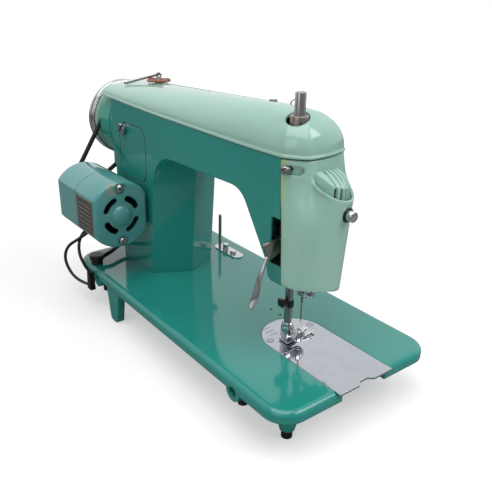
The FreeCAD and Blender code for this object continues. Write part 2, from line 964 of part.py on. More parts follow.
def make_arm():
    pillar = lofted(
        "Pillar",
        "XY",
        [
            (0, pillar_outline("pillar_wheel_base_x", "pillar_edge_base_x", "prow_base_x", 0)),
            (
                "arm_low_z + wall",
                pillar_outline("pillar_wheel_top_x", "pillar_edge_top_x", "prow_top_x", 0),
            ),
        ],
    )
    climb = "(cover_edge_wheel - cover_edge_mid) / (cover_end_x - cover_mid_x)"
    wheel_edge = f"cover_edge_mid + {climb} * (pillar_wheel_top_x - cover_mid_x)"
    side = prism(
        "ArmSide",
        "XZ",
        [
            ("pillar_wheel_top_x", "arm_join_z"),
            ("pillar_wheel_top_x", wheel_edge),
            ("cover_mid_x", "cover_edge_mid"),
            ("cover_head_x", "cover_edge_head"),
            ("joint_top_x", "cover_edge_head"),
            ("joint_low_x", "head_low_z"),
            ("head_heel_x - head_toe_start", "head_low_z"),
            ("head_heel_x - head_toe_end", "head_low_z + head_toe_radius", "head_toe_radius"),
            ("head_heel_x", "head_heel_z"),
            ("head_shoulder_x", "head_shoulder_z"),
            ("head_knee_x", "arm_low_z", "-head_knee_radius"),
            ("throat_fillet_x", "arm_low_z"),
            ("throat_fillet_x + throat_fillet", "arm_join_z", "-throat_radius"),
        ],
        "pillar_front_y - wall",
        "pillar_rear_y + wall",
    )
    plan = prism("ArmPlan", "XY", arm_plan(0), "head_low_z - wall", "cover_edge_wheel + wall")
    boss = rod(
        "WheelBoss",
        "boss_radius",
        ("boss_start_x", "shaft_y", "shaft_z"),
        "boss_end_x - boss_start_x",
        "x",
    )
    solid = join("ArmSolid", pillar, common("ArmBeam", side, plan), boss)

    inner_side = prism(
        "ArmInnerSide",
        "XZ",
        [
            ("boss_start_x", "arm_low_z + wall"),
            ("boss_start_x", "crown_wheel"),
            ("nose_x", "crown_wheel"),
            ("nose_x", "head_low_z + wall"),
            ("head_heel_x - 2 * wall", "head_low_z + wall"),
            ("head_heel_x - wall", "head_heel_z"),
            ("head_shoulder_x - wall", "head_shoulder_z"),
            ("head_knee_x - wall", "arm_low_z + wall"),
        ],
        "pillar_front_y - wall",
        "pillar_rear_y + wall",
    )
    inner_plan = prism("ArmInnerPlan", "XY", arm_plan("wall"), "head_low_z", "crown_wheel + wall")
    inner_mouth = box(
        "HeadMouth",
        ("nose_x", "head_front_y + wall", "head_low_z + wall"),
        ("joint_low_x + wall", "head_rear_y - wall", "crown_wheel"),
    )
    inner_pillar = lofted(
        "PillarHollow",
        "XY",
        [
            ("-wall", pillar_outline("pillar_wheel_base_x", "pillar_edge_base_x", "prow_base_x", "wall")),
            (
                "arm_low_z + 2 * wall",
                pillar_outline("pillar_wheel_top_x", "pillar_edge_top_x", "prow_top_x", "wall"),
            ),
        ],
    )
    cavity = join("ArmCavity", common("BeamCavity", inner_side, inner_plan), inner_mouth, inner_pillar)
    shell = trim("ArmShell", solid, cavity)

    front_web = box(
        "FrontBushWeb",
        ("front_bush_x", "head_front_y", "arm_low_z"),
        ("front_bush_x + front_bush_length", "head_rear_y", "shaft_z + shaft_radius + 3 * bush_wall"),
    )
    bar_web = join(
        "BarWeb",
        box(
            "BarWebInside",
            ("joint_top_x + clearance", "head_front_y + 0.8 * wall", "web_low_z"),
            ("web_x", "head_rear_y - 0.8 * wall", "web_high_z"),
        ),
        box(
            "BarWebTongue",
            ("joint_top_x - bar_bush_wall", "head_front_y + 2 * wall", "web_low_z"),
            ("web_x", "head_rear_y - 2 * wall", "web_high_z"),
        ),
    )
    bar_block = box(
        "BarBlock",
        ("needle_x - 2 * bar_radius", "head_front_y + 0.8 * wall", "bar_bush_low - clearance"),
        ("head_heel_x - wall / 2", "head_rear_y - 0.8 * wall", "bar_bush_high"),
    )
    lifter_stud = rod(
        "LifterStud",
        "lifter_pin_radius",
        ("lifter_near_x", "lifter_pivot_y", "lifter_pivot_z"),
        "head_heel_x + 2 * wall - lifter_near_x",
        "x",
    )
    take_up_lug = box(
        "TakeUpLug",
        ("joint_top_x", "take_up_y - wall", "take_up_z - wall"),
        ("take_up_near_x - clearance", "take_up_y + wall", "web_high_z"),
    )
    take_up_stud = rod(
        "TakeUpStud",
        "take_up_pin_radius",
        ("joint_top_x + wall", "take_up_y", "take_up_z"),
        "take_up_far_x - joint_top_x - wall",
        "x",
    )
    face_lug = box(
        "FaceLug",
        ("face_slot_x + face_slot_half - 0.8 * wall", "head_rear_y - 3 * wall", "face_slot_z - wall"),
        ("joint_top_x + wall", "head_rear_y - 1.9 * wall", "face_slot_z + 0.8 * wall"),
    )
    sleeve_tube = rod(
        "RegulatorSleeve",
        "sleeve_radius",
        ("needle_x", "presser_y", "web_low_z"),
        "sleeve_top - web_low_z",
    )
    stitch_lugs = [
        box(
            f"StitchLug{i}",
            (f"stitch_x + {low}", "pillar_front_y + wall / 2", "stitch_z - wall"),
            (f"stitch_x + {high}", "stitch_pivot_y + wall", "stitch_z + wall"),
        )
        for i, (low, high) in enumerate((("-2.4 * wall", "-1.4 * wall"), ("1.4 * wall", "2.4 * wall")))
    ]
    stitch_stud = rod(
        "StitchStud",
        "stitch_rod_radius",
        ("stitch_x - 2 * wall", "stitch_pivot_y", "stitch_z"),
        "4 * wall",
        "x",
    )
    fitted = join(
        "ArmFitted",
        shell,
        front_web,
        bar_web,
        bar_block,
        lifter_stud,
        take_up_lug,
        take_up_stud,
        sleeve_tube,
        face_lug,
        stitch_stud,
        *stitch_lugs,
    )
    bush_radius = "bar_radius + bar_bush_wall"
    cuts = [
        rod(
            "FrontBushBore",
            "shaft_radius + bush_wall",
            ("front_bush_x - wall", "shaft_y", "shaft_z"),
            "front_bush_length + 2 * wall",
            "x",
        ),
        rod(
            "BossBore",
            "shaft_radius + bush_wall",
            ("boss_start_x - wall", "shaft_y", "shaft_z"),
            "2 * boss_end_x",
            "x",
        ),
        rod(
            "FaceScrewHole",
            "lifter_pin_radius",
            ("face_slot_x + face_slot_half", "head_rear_y - 4 * wall", "face_slot_z"),
            "4 * wall",
            "y",
        ),
        rod("SleeveBore", "pin_radius + clearance", ("needle_x", "presser_y", "web_high_z"), "crown_head"),
        box(
            "LifterSlot",
            ("nose_x", "head_rear_y - 2 * wall", "lifter_slot_low"),
            ("lifter_slot_x", "pillar_rear_y", "lifter_slot_high"),
        ),
        box(
            "TakeUpSlot",
            ("take_up_near_x - 2 * clearance", "pillar_front_y", "take_up_z - 3 * wall"),
            ("take_up_far_x + 2 * clearance", "head_front_y + 1.5 * wall", "cover_edge_wheel"),
        ),
        box(
            "StitchSlot",
            (
                "stitch_x - stitch_rod_radius - 2 * clearance",
                "pillar_front_y - wall",
                "stitch_z - 2 * wall",
            ),
            (
                "stitch_x + stitch_rod_radius + 2 * clearance",
                "stitch_pivot_y - wall",
                "stitch_z + 2 * wall",
            ),
        ),
        prism(
            "RearCoverRecess",
            "XZ",
            rounded(
                "rear_cover_half_x + clearance",
                "rear_cover_half_z + clearance",
                "rear_cover_corner + clearance",
                "rear_cover_x",
                "rear_cover_z",
            ),
            "pillar_rear_y - rear_cover_thick",
            "pillar_rear_y + wall",
        ),
        rod(
            "RearKnobHole",
            "rear_knob_radius / 2",
            ("rear_knob_x", "pillar_rear_y - 2 * wall", "rear_knob_z"),
            "2 * wall",
            "y",
        ),
        rod(
            "TensionHole",
            "tension_stud_radius",
            ("tension_x", "pillar_front_y", "tension_z"),
            "2 * wall + head_front_y - pillar_front_y",
            "y",
        ),
    ]
    for name, y in (("Needle", "needle_y"), ("Presser", "presser_y")):
        cuts.append(rod(
            f"{name}Bore",
            bush_radius,
            ("needle_x", y, "head_low_z - wall"),
            "web_high_z - head_low_z + wall",
        ))
    node("arm_casting", trim("ArmCasting", fitted, *cuts))

    end_plate = sleeve(
        "WheelEndPlate",
        "shaft_radius + bush_wall",
        "end_plate_radius",
        ("boss_end_x", "shaft_y", "shaft_z"),
        "end_plate_x - boss_end_x",
        "x",
    )
    node("wheel_end_plate", end_plate)


def cover_section(rear, front, edge, crown, inset):
    # an arch over the arm: two arcs that meet level at the crown
    foot = f"({edge} + cover_lip)"
    top = f"({crown} - ({inset}))"
    rise = f"({top} - {foot})"
    rear_y, front_y = f"({rear} - ({inset}))", f"({front} + ({inset}))"
    rear_radius = f"({rear_y} * {rear_y} + {rise} * {rise}) / (2 * {rise})"
    front_radius = f"({front_y} * {front_y} + {rise} * {rise}) / (2 * {rise})"
    low = f"{edge} - 2 * ({inset})"
    return [
        (front_y, low),
        (rear_y, low),
        (rear_y, foot),
        ("0", top, rear_radius),
        (front_y, foot, front_radius),
    ]


def cover_block(name, inset):
    taper_rear = "(pillar_rear_y - head_rear_y) / (pillar_edge_top_x - joint_low_x)"
    taper_front = "(pillar_front_y - head_front_y) / (pillar_edge_top_x - joint_low_x)"

    def side(edge, taper, x):
        return f"({edge} - {taper} * (pillar_edge_top_x - ({x})))"

    stations = [
        (f"cover_end_x + ({inset})", "pillar_rear_y", "pillar_front_y", "cover_edge_wheel", "crown_wheel"),
    ]
    for x, edge, crown in (
        ("cover_mid_x", "cover_edge_mid", "crown_mid"),
        ("cover_head_x", "cover_edge_head", "crown_head"),
        ("nose_x - wall", "cover_edge_head", "crown_head"),
    ):
        rear, front = side("pillar_rear_y", taper_rear, x), side("pillar_front_y", taper_front, x)
        stations.append((x, rear, front, edge, crown))
    tunnel = lofted(
        name + "Tunnel",
        "YZ",
        [(x, cover_section(rear, front, edge, crown, inset)) for x, rear, front, edge, crown in stations],
    )
    plan = prism(
        name + "Plan",
        "XY",
        [
            ("2 * cover_end_x", "-bed_width / 2"),
            ("2 * cover_end_x", "bed_width / 2"),
            (f"joint_top_x + ({inset})", "bed_width / 2"),
            (f"joint_top_x + ({inset})", "head_rear_y + clearance"),
            (f"crease_top_x + ({inset})", f"crease_rear_y - ({inset})", "crease_round"),
            (f"crease_front_x + ({inset})", f"crease_front_y + ({inset})", "nose_radius"),
            (f"joint_top_x + ({inset})", "head_front_y - clearance"),
            (f"joint_top_x + ({inset})", "-bed_width / 2"),
        ],
        "cover_edge_head - wall",
        "crown_head + wall",
    )
    top = f"crown_head + clearance - ({inset})"
    front_end = f"nose_top_x - clearance + ({inset})"
    profile = prism(
        name + "Profile",
        "XZ",
        [
            ("2 * cover_end_x", "cover_edge_head - wall"),
            ("2 * cover_end_x", "crown_head + 2 * wall"),
            (f"{front_end} + nose_round", "crown_head + 2 * wall"),
            (f"{front_end} + nose_round", top),
            (front_end, f"{top} - nose_round", "nose_round"),
            (front_end, "cover_edge_head - wall"),
        ],
        "-bed_width / 2",
        "bed_width / 2",
    )
    return common(name + "Nose", common(name + "Length", tunnel, plan), profile)


def make_top_cover():
    cuts = [
        cover_block("TopCoverInside", "cover_wall"),
        rod("CollarHole", "collar_hole", ("needle_x", "presser_y", "cover_edge_head"), "crown_head"),
    ]
    for i, x in enumerate(("cover_mid_x - 1.6 * wall", "cover_mid_x - 4 * wall")):
        cuts.append(rod(f"CoverOilHole{i}", "oil_hole_radius", (x, 0, "cover_edge_mid"), "crown_head"))
    node("top_cover", trim("TopCover", cover_block("TopCoverBlock", 0), *cuts))

    button = rod(
        "GuideButton",
        "bar_radius",
        ("cover_head_x + 2 * wall", "-wall", "guide_z - wall"),
        "wall",
    )
    loop = document.addObject("Part::Torus", "GuideLoop")
    loop.Placement = FreeCAD.Placement(FreeCAD.Vector(), turns["x"])
    bind(loop, {"Radius1": "bar_radius", "Radius2": "needle_radius"})
    put(loop, "cover_head_x - wall", "-3 * wall", "crown_head - 0.4 * wall")
    cover = document.getObject("TopCoverBlockNose")
    seated = [trim("GuideButtonSeat", button, cover), trim("GuideLoopSeat", loop, cover)]
    node("thread_guides", group("ThreadGuides", *seated))


def face_block(name, inset, overrun, extra):
    lean = "(joint_top_x - joint_low_x) / (cover_edge_head - head_low_z)"
    top_rear, top_front = ("crease_top_x", "crease_rear_y"), ("crease_front_x", "crease_front_y")
    brow_rear, brow_front = [(f"{x} - brow_swell", y) for x, y in (top_rear, top_front)]
    low_front, lip_front = ("front_low_x", "low_front_y"), ("front_low_x", "lip_front_y")
    sections = []
    for z, rear, front, side, nose in (
        (f"chin_z - ({extra})", ("crease_low_x", "low_rear_y"), low_front, "side_round", "low_radius"),
        ("lip_z", ("crease_lip_x", "lip_rear_y"), lip_front, "side_round", "lip_radius"),
        ("brow_z", brow_rear, brow_front, "crease_round", "nose_radius"),
        (f"face_top_z + ({extra})", top_rear, top_front, "crease_round", "nose_radius"),
    ):
        joint = f"joint_low_x - joint_gap + {lean} * ({z} - head_low_z) + ({overrun})"
        outline = [
            (joint, f"head_front_y + ({inset})"),
            (joint, f"head_rear_y - ({inset})"),
            (f"{rear[0]} + ({inset})", f"{rear[1]} - ({inset})", side),
            (f"{front[0]} + ({inset})", f"{front[1]} + ({inset})", nose),
        ]
        sections.append((z, outline))
    return lofted(name, "XY", sections)


def make_face_cover():
    block = face_block("FaceBlock", 0, 0, 0)
    hollow = face_block("FaceHollow", "cover_wall", "wall", "wall")
    under = prism(
        "FaceUnder",
        "YZ",
        [
            ("pillar_rear_y", "chin_z - wall"),
            ("pillar_rear_y", "face_low_z"),
            ("head_rear_y", "face_low_z"),
            ("jaw_y", "jaw_z"),
            ("chin_y", "chin_z"),
            ("head_front_y", "chin_front_z"),
            ("head_front_y - wall", "chin_z - wall"),
        ],
        "nose_x - wall",
        "needle_x",
    )
    cuts = [
        hollow,
        under,
        rod(
            "SwitchHole",
            "switch_radius + clearance",
            ("switch_end_x", "switch_y", "switch_z"),
            "switch_inner_x - switch_end_x",
            "x",
        ),
        prism(
            "FaceSlot",
            "XZ",
            slot_outline("face_slot_half", "face_slot_radius", "face_slot_x", "face_slot_z"),
            "crease_rear_y - wall / 2",
            "pillar_rear_y",
        ),
    ]
    for i in range(int(value("louvre_count"))):
        middle = f"louvre_first_y - {i} * louvre_pitch"
        cuts.append(
            box(
                f"Louvre{i}",
                ("nose_x - wall", f"{middle} - louvre_slot / 2", "louvre_low_z"),
                ("crease_top_x + 2 * wall", f"{middle} + louvre_slot / 2", "louvre_high_z"),
            )
        )
    node("face_cover", trim("FaceCover", block, *cuts))

    screw_x = "face_slot_x + face_slot_half"
    inner_y = "crease_rear_y - wall / 2"
    head = rod(
        "FaceScrewHead",
        "face_screw_radius",
        (screw_x, "crease_rear_y", "face_slot_z"),
        "face_screw_reach - crease_rear_y",
        "y",
    )
    shank = rod(
        "FaceScrewShank",
        "lifter_pin_radius",
        (screw_x, inner_y, "face_slot_z"),
        f"face_screw_reach - ({inner_y})",
        "y",
    )
    seated = trim("FaceScrewSeat", head, block, document.getObject("FaceHollow"))
    screw = join("FaceScrew", seated, shank)
    node("face_cover_screw", screw)

    socket = join(
        "LampSocketBlank",
        rod(
            "LampCup",
            "lamp_cup_radius",
            ("lamp_x", "lamp_y", "web_low_z - 4 * wall"),
            "4 * wall + cover_wall",
        ),
        box(
            "LampStrap",
            ("lamp_x", "lamp_y - bar_radius / 2", "web_low_z"),
            ("joint_top_x - bar_bush_wall", "lamp_y + bar_radius / 2", "web_low_z + cover_wall"),
        ),
    )
    node("lamp_socket", socket)
    bulb = turned(
        "LampBulb",
        [
            ("0", "0"),
            ("0", "head_toe_radius"),
            ("-4 * wall", "head_toe_radius + cover_wall / 2"),
            ("-6 * wall", "head_toe_radius"),
            ("-7 * wall", "0", "-12 * cover_wall"),
        ],
        "z",
        "lamp_x",
        "lamp_y",
        "web_low_z - 4 * wall",
    )
    node("lamp_bulb", bulb)
    knob = rod(
        "SwitchKnob",
        "switch_radius",
        ("switch_end_x", "switch_y", "switch_z"),
        "switch_inner_x - switch_end_x",
        "x",
    )
    node("lamp_switch", knob)


def make_rear_cover():
    panel = prism(
        "RearCoverPanel",
        "XZ",
        rounded(
            "rear_cover_half_x",
            "rear_cover_half_z",
            "rear_cover_corner",
            "rear_cover_x",
            "rear_cover_z",
        ),
        "pillar_rear_y - rear_cover_thick",
        "pillar_rear_y",
    )
    hole = rod(
        "RearPanelHole",
        "rear_knob_radius / 2",
        ("rear_knob_x", "pillar_rear_y - wall", "rear_knob_z"),
        "2 * wall",
        "y",
    )
    node("rear_cover", trim("RearCover", panel, hole))
    head = rod(
        "RearKnobHead",
        "rear_knob_radius",
        ("rear_knob_x", "pillar_rear_y", "rear_knob_z"),
        "rear_knob_length",
        "y",
    )
    shank = rod(
        "RearKnobShank",
        "rear_knob_radius / 2",
        ("rear_knob_x", "pillar_rear_y - wall", "rear_knob_z"),
        "2 * wall",
        "y",
    )
    slit = box(
        "RearKnobSlit",
        (
            "rear_knob_x - rear_knob_radius / 6",
            "pillar_rear_y + 0.7 * rear_knob_length",
            "rear_knob_z - rear_knob_radius",
        ),
        (
            "rear_knob_x + rear_knob_radius / 6",
            "pillar_rear_y + 2 * rear_knob_length",
            "rear_knob_z + rear_knob_radius",
        ),
    )
    node("rear_cover_screw", trim("RearKnob", join("RearKnobBlank", head, shank), slit))


def make_main_shaft():
    shaft = rod(
        "ShaftRod",
        "shaft_radius",
        ("crank_far_x", "shaft_y", "shaft_z"),
        "wheel_end_x - crank_far_x",
        "x",
    )
    disc = rod(
        "CrankDisc",
        "crank_radius",
        ("crank_near_x", "shaft_y", "shaft_z"),
        "crank_far_x - crank_near_x",
        "x",
    )
    pin = rod(
        "CrankPin",
        "bar_radius",
        ("link_far_x + clearance", "shaft_y", "shaft_z + crank_throw"),
        "crank_near_x - link_far_x",
        "x",
    )
    node("main_shaft", join("MainShaft", shaft, disc, pin))

    bushes = [
        sleeve(
            f"ShaftBush{i}",
            "shaft_radius + running_fit",
            "shaft_radius + bush_wall",
            (start, "shaft_y", "shaft_z"),
            length,
            "x",
        )
        for i, (start, length) in enumerate(
            (("front_bush_x", "front_bush_length"), ("boss_start_x", "end_plate_x - boss_start_x"))
        )
    ]
    node("shaft_bushes", group("ShaftBushes", *bushes))

    bore = "shaft_radius + running_fit"
    groove = "belt_on_wheel - belt_radius - clearance"
    wheel = turned(
        "HandWheel",
        [
            ("wheel_start_x", bore),
            ("wheel_end_x", bore),
            ("wheel_end_x", "wheel_hub_radius"),
            ("wheel_dish_x", "wheel_hub_radius + wall"),
            ("wheel_dish_x", "wheel_flange - wall"),
            ("wheel_end_x", "wheel_flange"),
            ("wheel_end_x", "wheel_radius"),
            ("wheel_body_x", "wheel_radius"),
            ("wheel_body_x", "wheel_flange"),
            ("belt_x + belt_radius", groove),
            ("belt_x - belt_radius", groove),
            ("2 * belt_x - wheel_body_x", "wheel_flange"),
            ("wheel_start_x", "wheel_flange"),
        ],
        "x",
        0,
        "shaft_y",
        "shaft_z",
    )
    node("hand_wheel", wheel)
    rim = turned(
        "WheelRim",
        [
            ("rim_start_x", "wheel_radius"),
            ("wheel_end_x", "wheel_radius"),
            ("wheel_end_x", "rim_radius - cover_wall / 2"),
            ("wheel_end_x - cover_wall / 2", "rim_radius"),
            ("rim_start_x + cover_wall / 2", "rim_radius"),
            ("rim_start_x", "rim_radius - cover_wall / 2"),
        ],
        "x",
        0,
        "shaft_y",
        "shaft_z",
    )
    node("wheel_rim", rim)
    knob = turned(
        "ClutchKnob",
        [
            ("wheel_end_x + clearance", "0"),
            ("wheel_end_x + clearance", "wheel_hub_radius - wall"),
            ("knob_start_x", "wheel_hub_radius - wall"),
            ("knob_start_x", "knob_radius"),
            ("knob_end_x - cover_wall", "knob_radius"),
            ("knob_end_x", "knob_radius - cover_wall"),
            ("knob_end_x", "0"),
        ],
        "x",
        0,
        "shaft_y",
        "shaft_z",
    )
    node("clutch_knob", knob)


def make_needle_bar():
    bar = join(
        "NeedleBarBlank",
        rod(
            "NeedleRod",
            "bar_radius",
            ("needle_x", "needle_y", "needle_clamp_high"),
            "needle_bar_top - needle_clamp_high",
        ),
        rod(
            "NeedleStud",
            "bar_radius - clearance",
            ("needle_x", "needle_y", "link_stud_z"),
            "link_far_x - needle_x",
            "x",
        ),
    )
    node("needle_bar", bar)
    screw = rod(
        "NeedleClampScrew",
        "needle_clamp_radius / 2",
        ("needle_x - needle_clamp_screw", "needle_y", "(needle_clamp_low + needle_clamp_high) / 2"),
        "needle_clamp_screw",
        "x",
    )
    clamp = rod(
        "NeedleClampBody",
        "needle_clamp_radius",
        ("needle_x", "needle_y", "needle_clamp_low"),
        "needle_clamp_high - needle_clamp_low",
    )
    node("needle_clamp", join("NeedleClamp", clamp, screw))
    needle = turned(
        "Needle",
        [
            ("needle_tip_z", "0"),
            ("needle_tip_z + wall", "needle_radius"),
            ("needle_clamp_low - needle_shank_length - needle_taper", "needle_radius"),
            ("needle_clamp_low - needle_shank_length", "needle_shank_radius"),
            ("needle_clamp_low", "needle_shank_radius"),
            ("needle_clamp_low", "0"),
        ],
        "z",
        "needle_x",
        "needle_y",
    )
    node("needle", needle)

    bushes = []
    for name, y in (("Needle", "needle_y"), ("Presser", "presser_y")):
        for place, low, high in (
            ("Low", "bar_bush_low", "bar_bush_high"),
            ("High", "web_low_z", "web_high_z"),
        ):
            bushes.append(
                sleeve(
                    f"{name}Bush{place}",
                    "bar_radius + running_fit",
                    "bar_radius + bar_bush_wall",
                    ("needle_x", y, low),
                    f"{high} - {low}",
                )
            )
    node("bar_bushes", group("BarBushes", *bushes))


def make_take_up():
    span = "take_up_far_x - take_up_near_x"
    arm = prism(
        "TakeUpArm",
        "YZ",
        [
            ("take_up_y", "take_up_z - take_up_root"),
            ("take_up_y", "take_up_z + take_up_root"),
            ("take_up_eye_y", "take_up_eye_z + take_up_half"),
            ("take_up_eye_y", "take_up_eye_z - take_up_half"),
        ],
        "take_up_near_x",
        "take_up_far_x",
    )
    hub = rod("TakeUpHub", "take_up_hub_radius", ("take_up_near_x", "take_up_y", "take_up_z"), span, "x")
    eye = rod(
        "TakeUpEye",
        "take_up_eye_radius",
        ("take_up_near_x", "take_up_eye_y", "take_up_eye_z"),
        span,
        "x",
    )
    bore = rod(
        "TakeUpBore",
        "take_up_pin_radius + running_fit",
        ("take_up_near_x", "take_up_y", "take_up_z"),
        span,
        "x",
    )
    hole = rod(
        "TakeUpHole",
        "oil_hole_radius",
        ("take_up_near_x", "take_up_eye_y", "take_up_eye_z"),
        span,
        "x",
    )
    node("take_up_lever", trim("TakeUpLever", join("TakeUpBlank", arm, hub, eye), bore, hole))


def make_presser():
    bar = rod(
        "PresserRod",
        "bar_radius",
        ("needle_x", "presser_y", "presser_bar_low"),
        "presser_bar_top - presser_bar_low",
    )
    bracket_low = "lifter_pivot_z + lifter_hub_radius + 2 * clearance"
    bracket = box(
        "LiftBracket",
        ("needle_x - 1.7 * bar_radius", "presser_y - 1.5 * bar_radius", bracket_low),
        ("needle_x + 1.5 * bar_radius", "lifter_pivot_y + bar_radius", f"{bracket_low} + 2 * bar_radius"),
    )
    node("presser_bar", join("PresserBar", bar, bracket))

    clamp_z = "(presser_bar_low + head_low_z) / 2 - wall / 2"
    collar = sleeve(
        "FootClampCollar",
        "bar_radius",
        "foot_clamp_radius",
        ("needle_x", "presser_y", f"{clamp_z} - bar_radius"),
        "foot_clamp_length",
    )
    screw = rod(
        "FootClampScrew",
        "bar_radius",
        ("needle_x", "presser_y + 1.5 * bar_radius", clamp_z),
        "2 * bar_radius",
        "y",
    )
    node("foot_clamp", join("FootClamp", collar, screw))

    shank = trim(
        "FootShank",
        box(
            "FootBlock",
            ("needle_x - shank_half", "presser_y - shank_half", "2 * cover_wall"),
            ("needle_x + shank_half", "presser_y + shank_half", "presser_bar_low + bar_radius"),
        ),
        rod("FootSocket", "bar_radius", ("needle_x", "presser_y", "presser_bar_low"), "bed_height"),
    )
    sole = prism(
        "FootSole",
        "XY",
        [
            ("needle_x - toe_half", "presser_y + shank_half"),
            ("needle_x - toe_half", "feed_front_y"),
            ("needle_x - bar_radius / 2", "feed_front_y"),
            ("needle_x - bar_radius / 2", "needle_y + bar_radius / 2"),
            ("needle_x + bar_radius / 2", "needle_y + bar_radius / 2"),
            ("needle_x + bar_radius / 2", "feed_front_y"),
            ("needle_x + toe_half", "feed_front_y"),
            ("needle_x + toe_half", "presser_y + shank_half"),
        ],
        "2 * clearance",
        "2 * cover_wall",
    )
    thumb = rod(
        "FootThumbScrew",
        "thumb_radius",
        ("needle_x - shank_half - thumb_length", "thumb_y", "thumb_z"),
        "2 * thumb_length",
        "x",
    )
    scroll = trim(
        "FootThumb",
        thumb,
        rod("FootThumbRelief", "bar_radius", ("needle_x", "presser_y", "presser_bar_low"), "bed_height"),
    )
    node("presser_foot", join("PresserFoot", shank, sole, scroll))

    lever = prism(
        "LifterArm",
        "YZ",
        [
            ("lifter_pivot_y", "lifter_pivot_z - lifter_neck"),
            ("lifter_bend_y", "lifter_pivot_z - lifter_neck"),
            ("pillar_rear_y + lifter_thick", "lifter_bend_z"),
            ("lifter_tip_y - lifter_thick", "lifter_spoon_z"),
            ("lifter_tip_y - lifter_thick / 2", "lifter_tip_z"),
            ("lifter_tip_y", "lifter_tip_z"),
            ("lifter_tip_y", "lifter_spoon_z"),
            ("pillar_rear_y + 2 * lifter_thick", "lifter_bend_z"),
            ("pillar_rear_y + lifter_thick", "lifter_pivot_z + lifter_neck"),
            ("lifter_pivot_y", "lifter_pivot_z + lifter_neck"),
        ],
        "lifter_near_x",
        "lifter_far_x",
    )
    spoon = prism(
        "LifterSpoon",
        "YZ",
        [
            ("(pillar_rear_y + lifter_tip_y) / 2", "(lifter_bend_z + lifter_spoon_z) / 2"),
            ("lifter_tip_y - lifter_thick", "lifter_spoon_z"),
            ("lifter_tip_y - lifter_thick / 2", "lifter_tip_z"),
            ("lifter_tip_y", "lifter_tip_z"),
            ("lifter_tip_y", "lifter_spoon_z"),
            ("(pillar_rear_y + lifter_tip_y) / 2 + lifter_thick", "(lifter_bend_z + lifter_spoon_z) / 2"),
        ],
        "lifter_near_x - lifter_thick",
        "lifter_far_x + lifter_thick",
    )
    span = "lifter_far_x - lifter_near_x"
    hub = rod(
        "LifterHub",
        "lifter_hub_radius",
        ("lifter_near_x", "lifter_pivot_y", "lifter_pivot_z"),
        span,
        "x",
    )
    bore = rod(
        "LifterBore",
        "lifter_pin_radius + running_fit",
        ("lifter_near_x", "lifter_pivot_y", "lifter_pivot_z"),
        span,
        "x",
    )
    node("presser_lifter", trim("PresserLifter", join("LifterBlank", lever, spoon, hub), bore))

    pin = turned(
        "PressurePin",
        [
            ("pin_low", "0"),
            ("pin_low", "pin_radius"),
            ("pin_top - clearance", "pin_radius"),
            ("pin_top", "pin_radius - 2 * clearance"),
            ("pin_top", "0"),
        ],
        "z",
        "needle_x",
        "presser_y",
    )
    node("pressure_pin", pin)
    ring = turned(
        "ReleaseRing",
        [
            ("ring_low", "pin_radius + clearance"),
            ("ring_low", "ring_radius"),
            ("ring_top - cover_wall", "ring_radius"),
            ("ring_top", "ring_radius - cover_wall / 2"),
            ("ring_top", "pin_radius + clearance"),
        ],
        "z",
        "needle_x",
        "presser_y",
    )
    node("release_ring", ring)


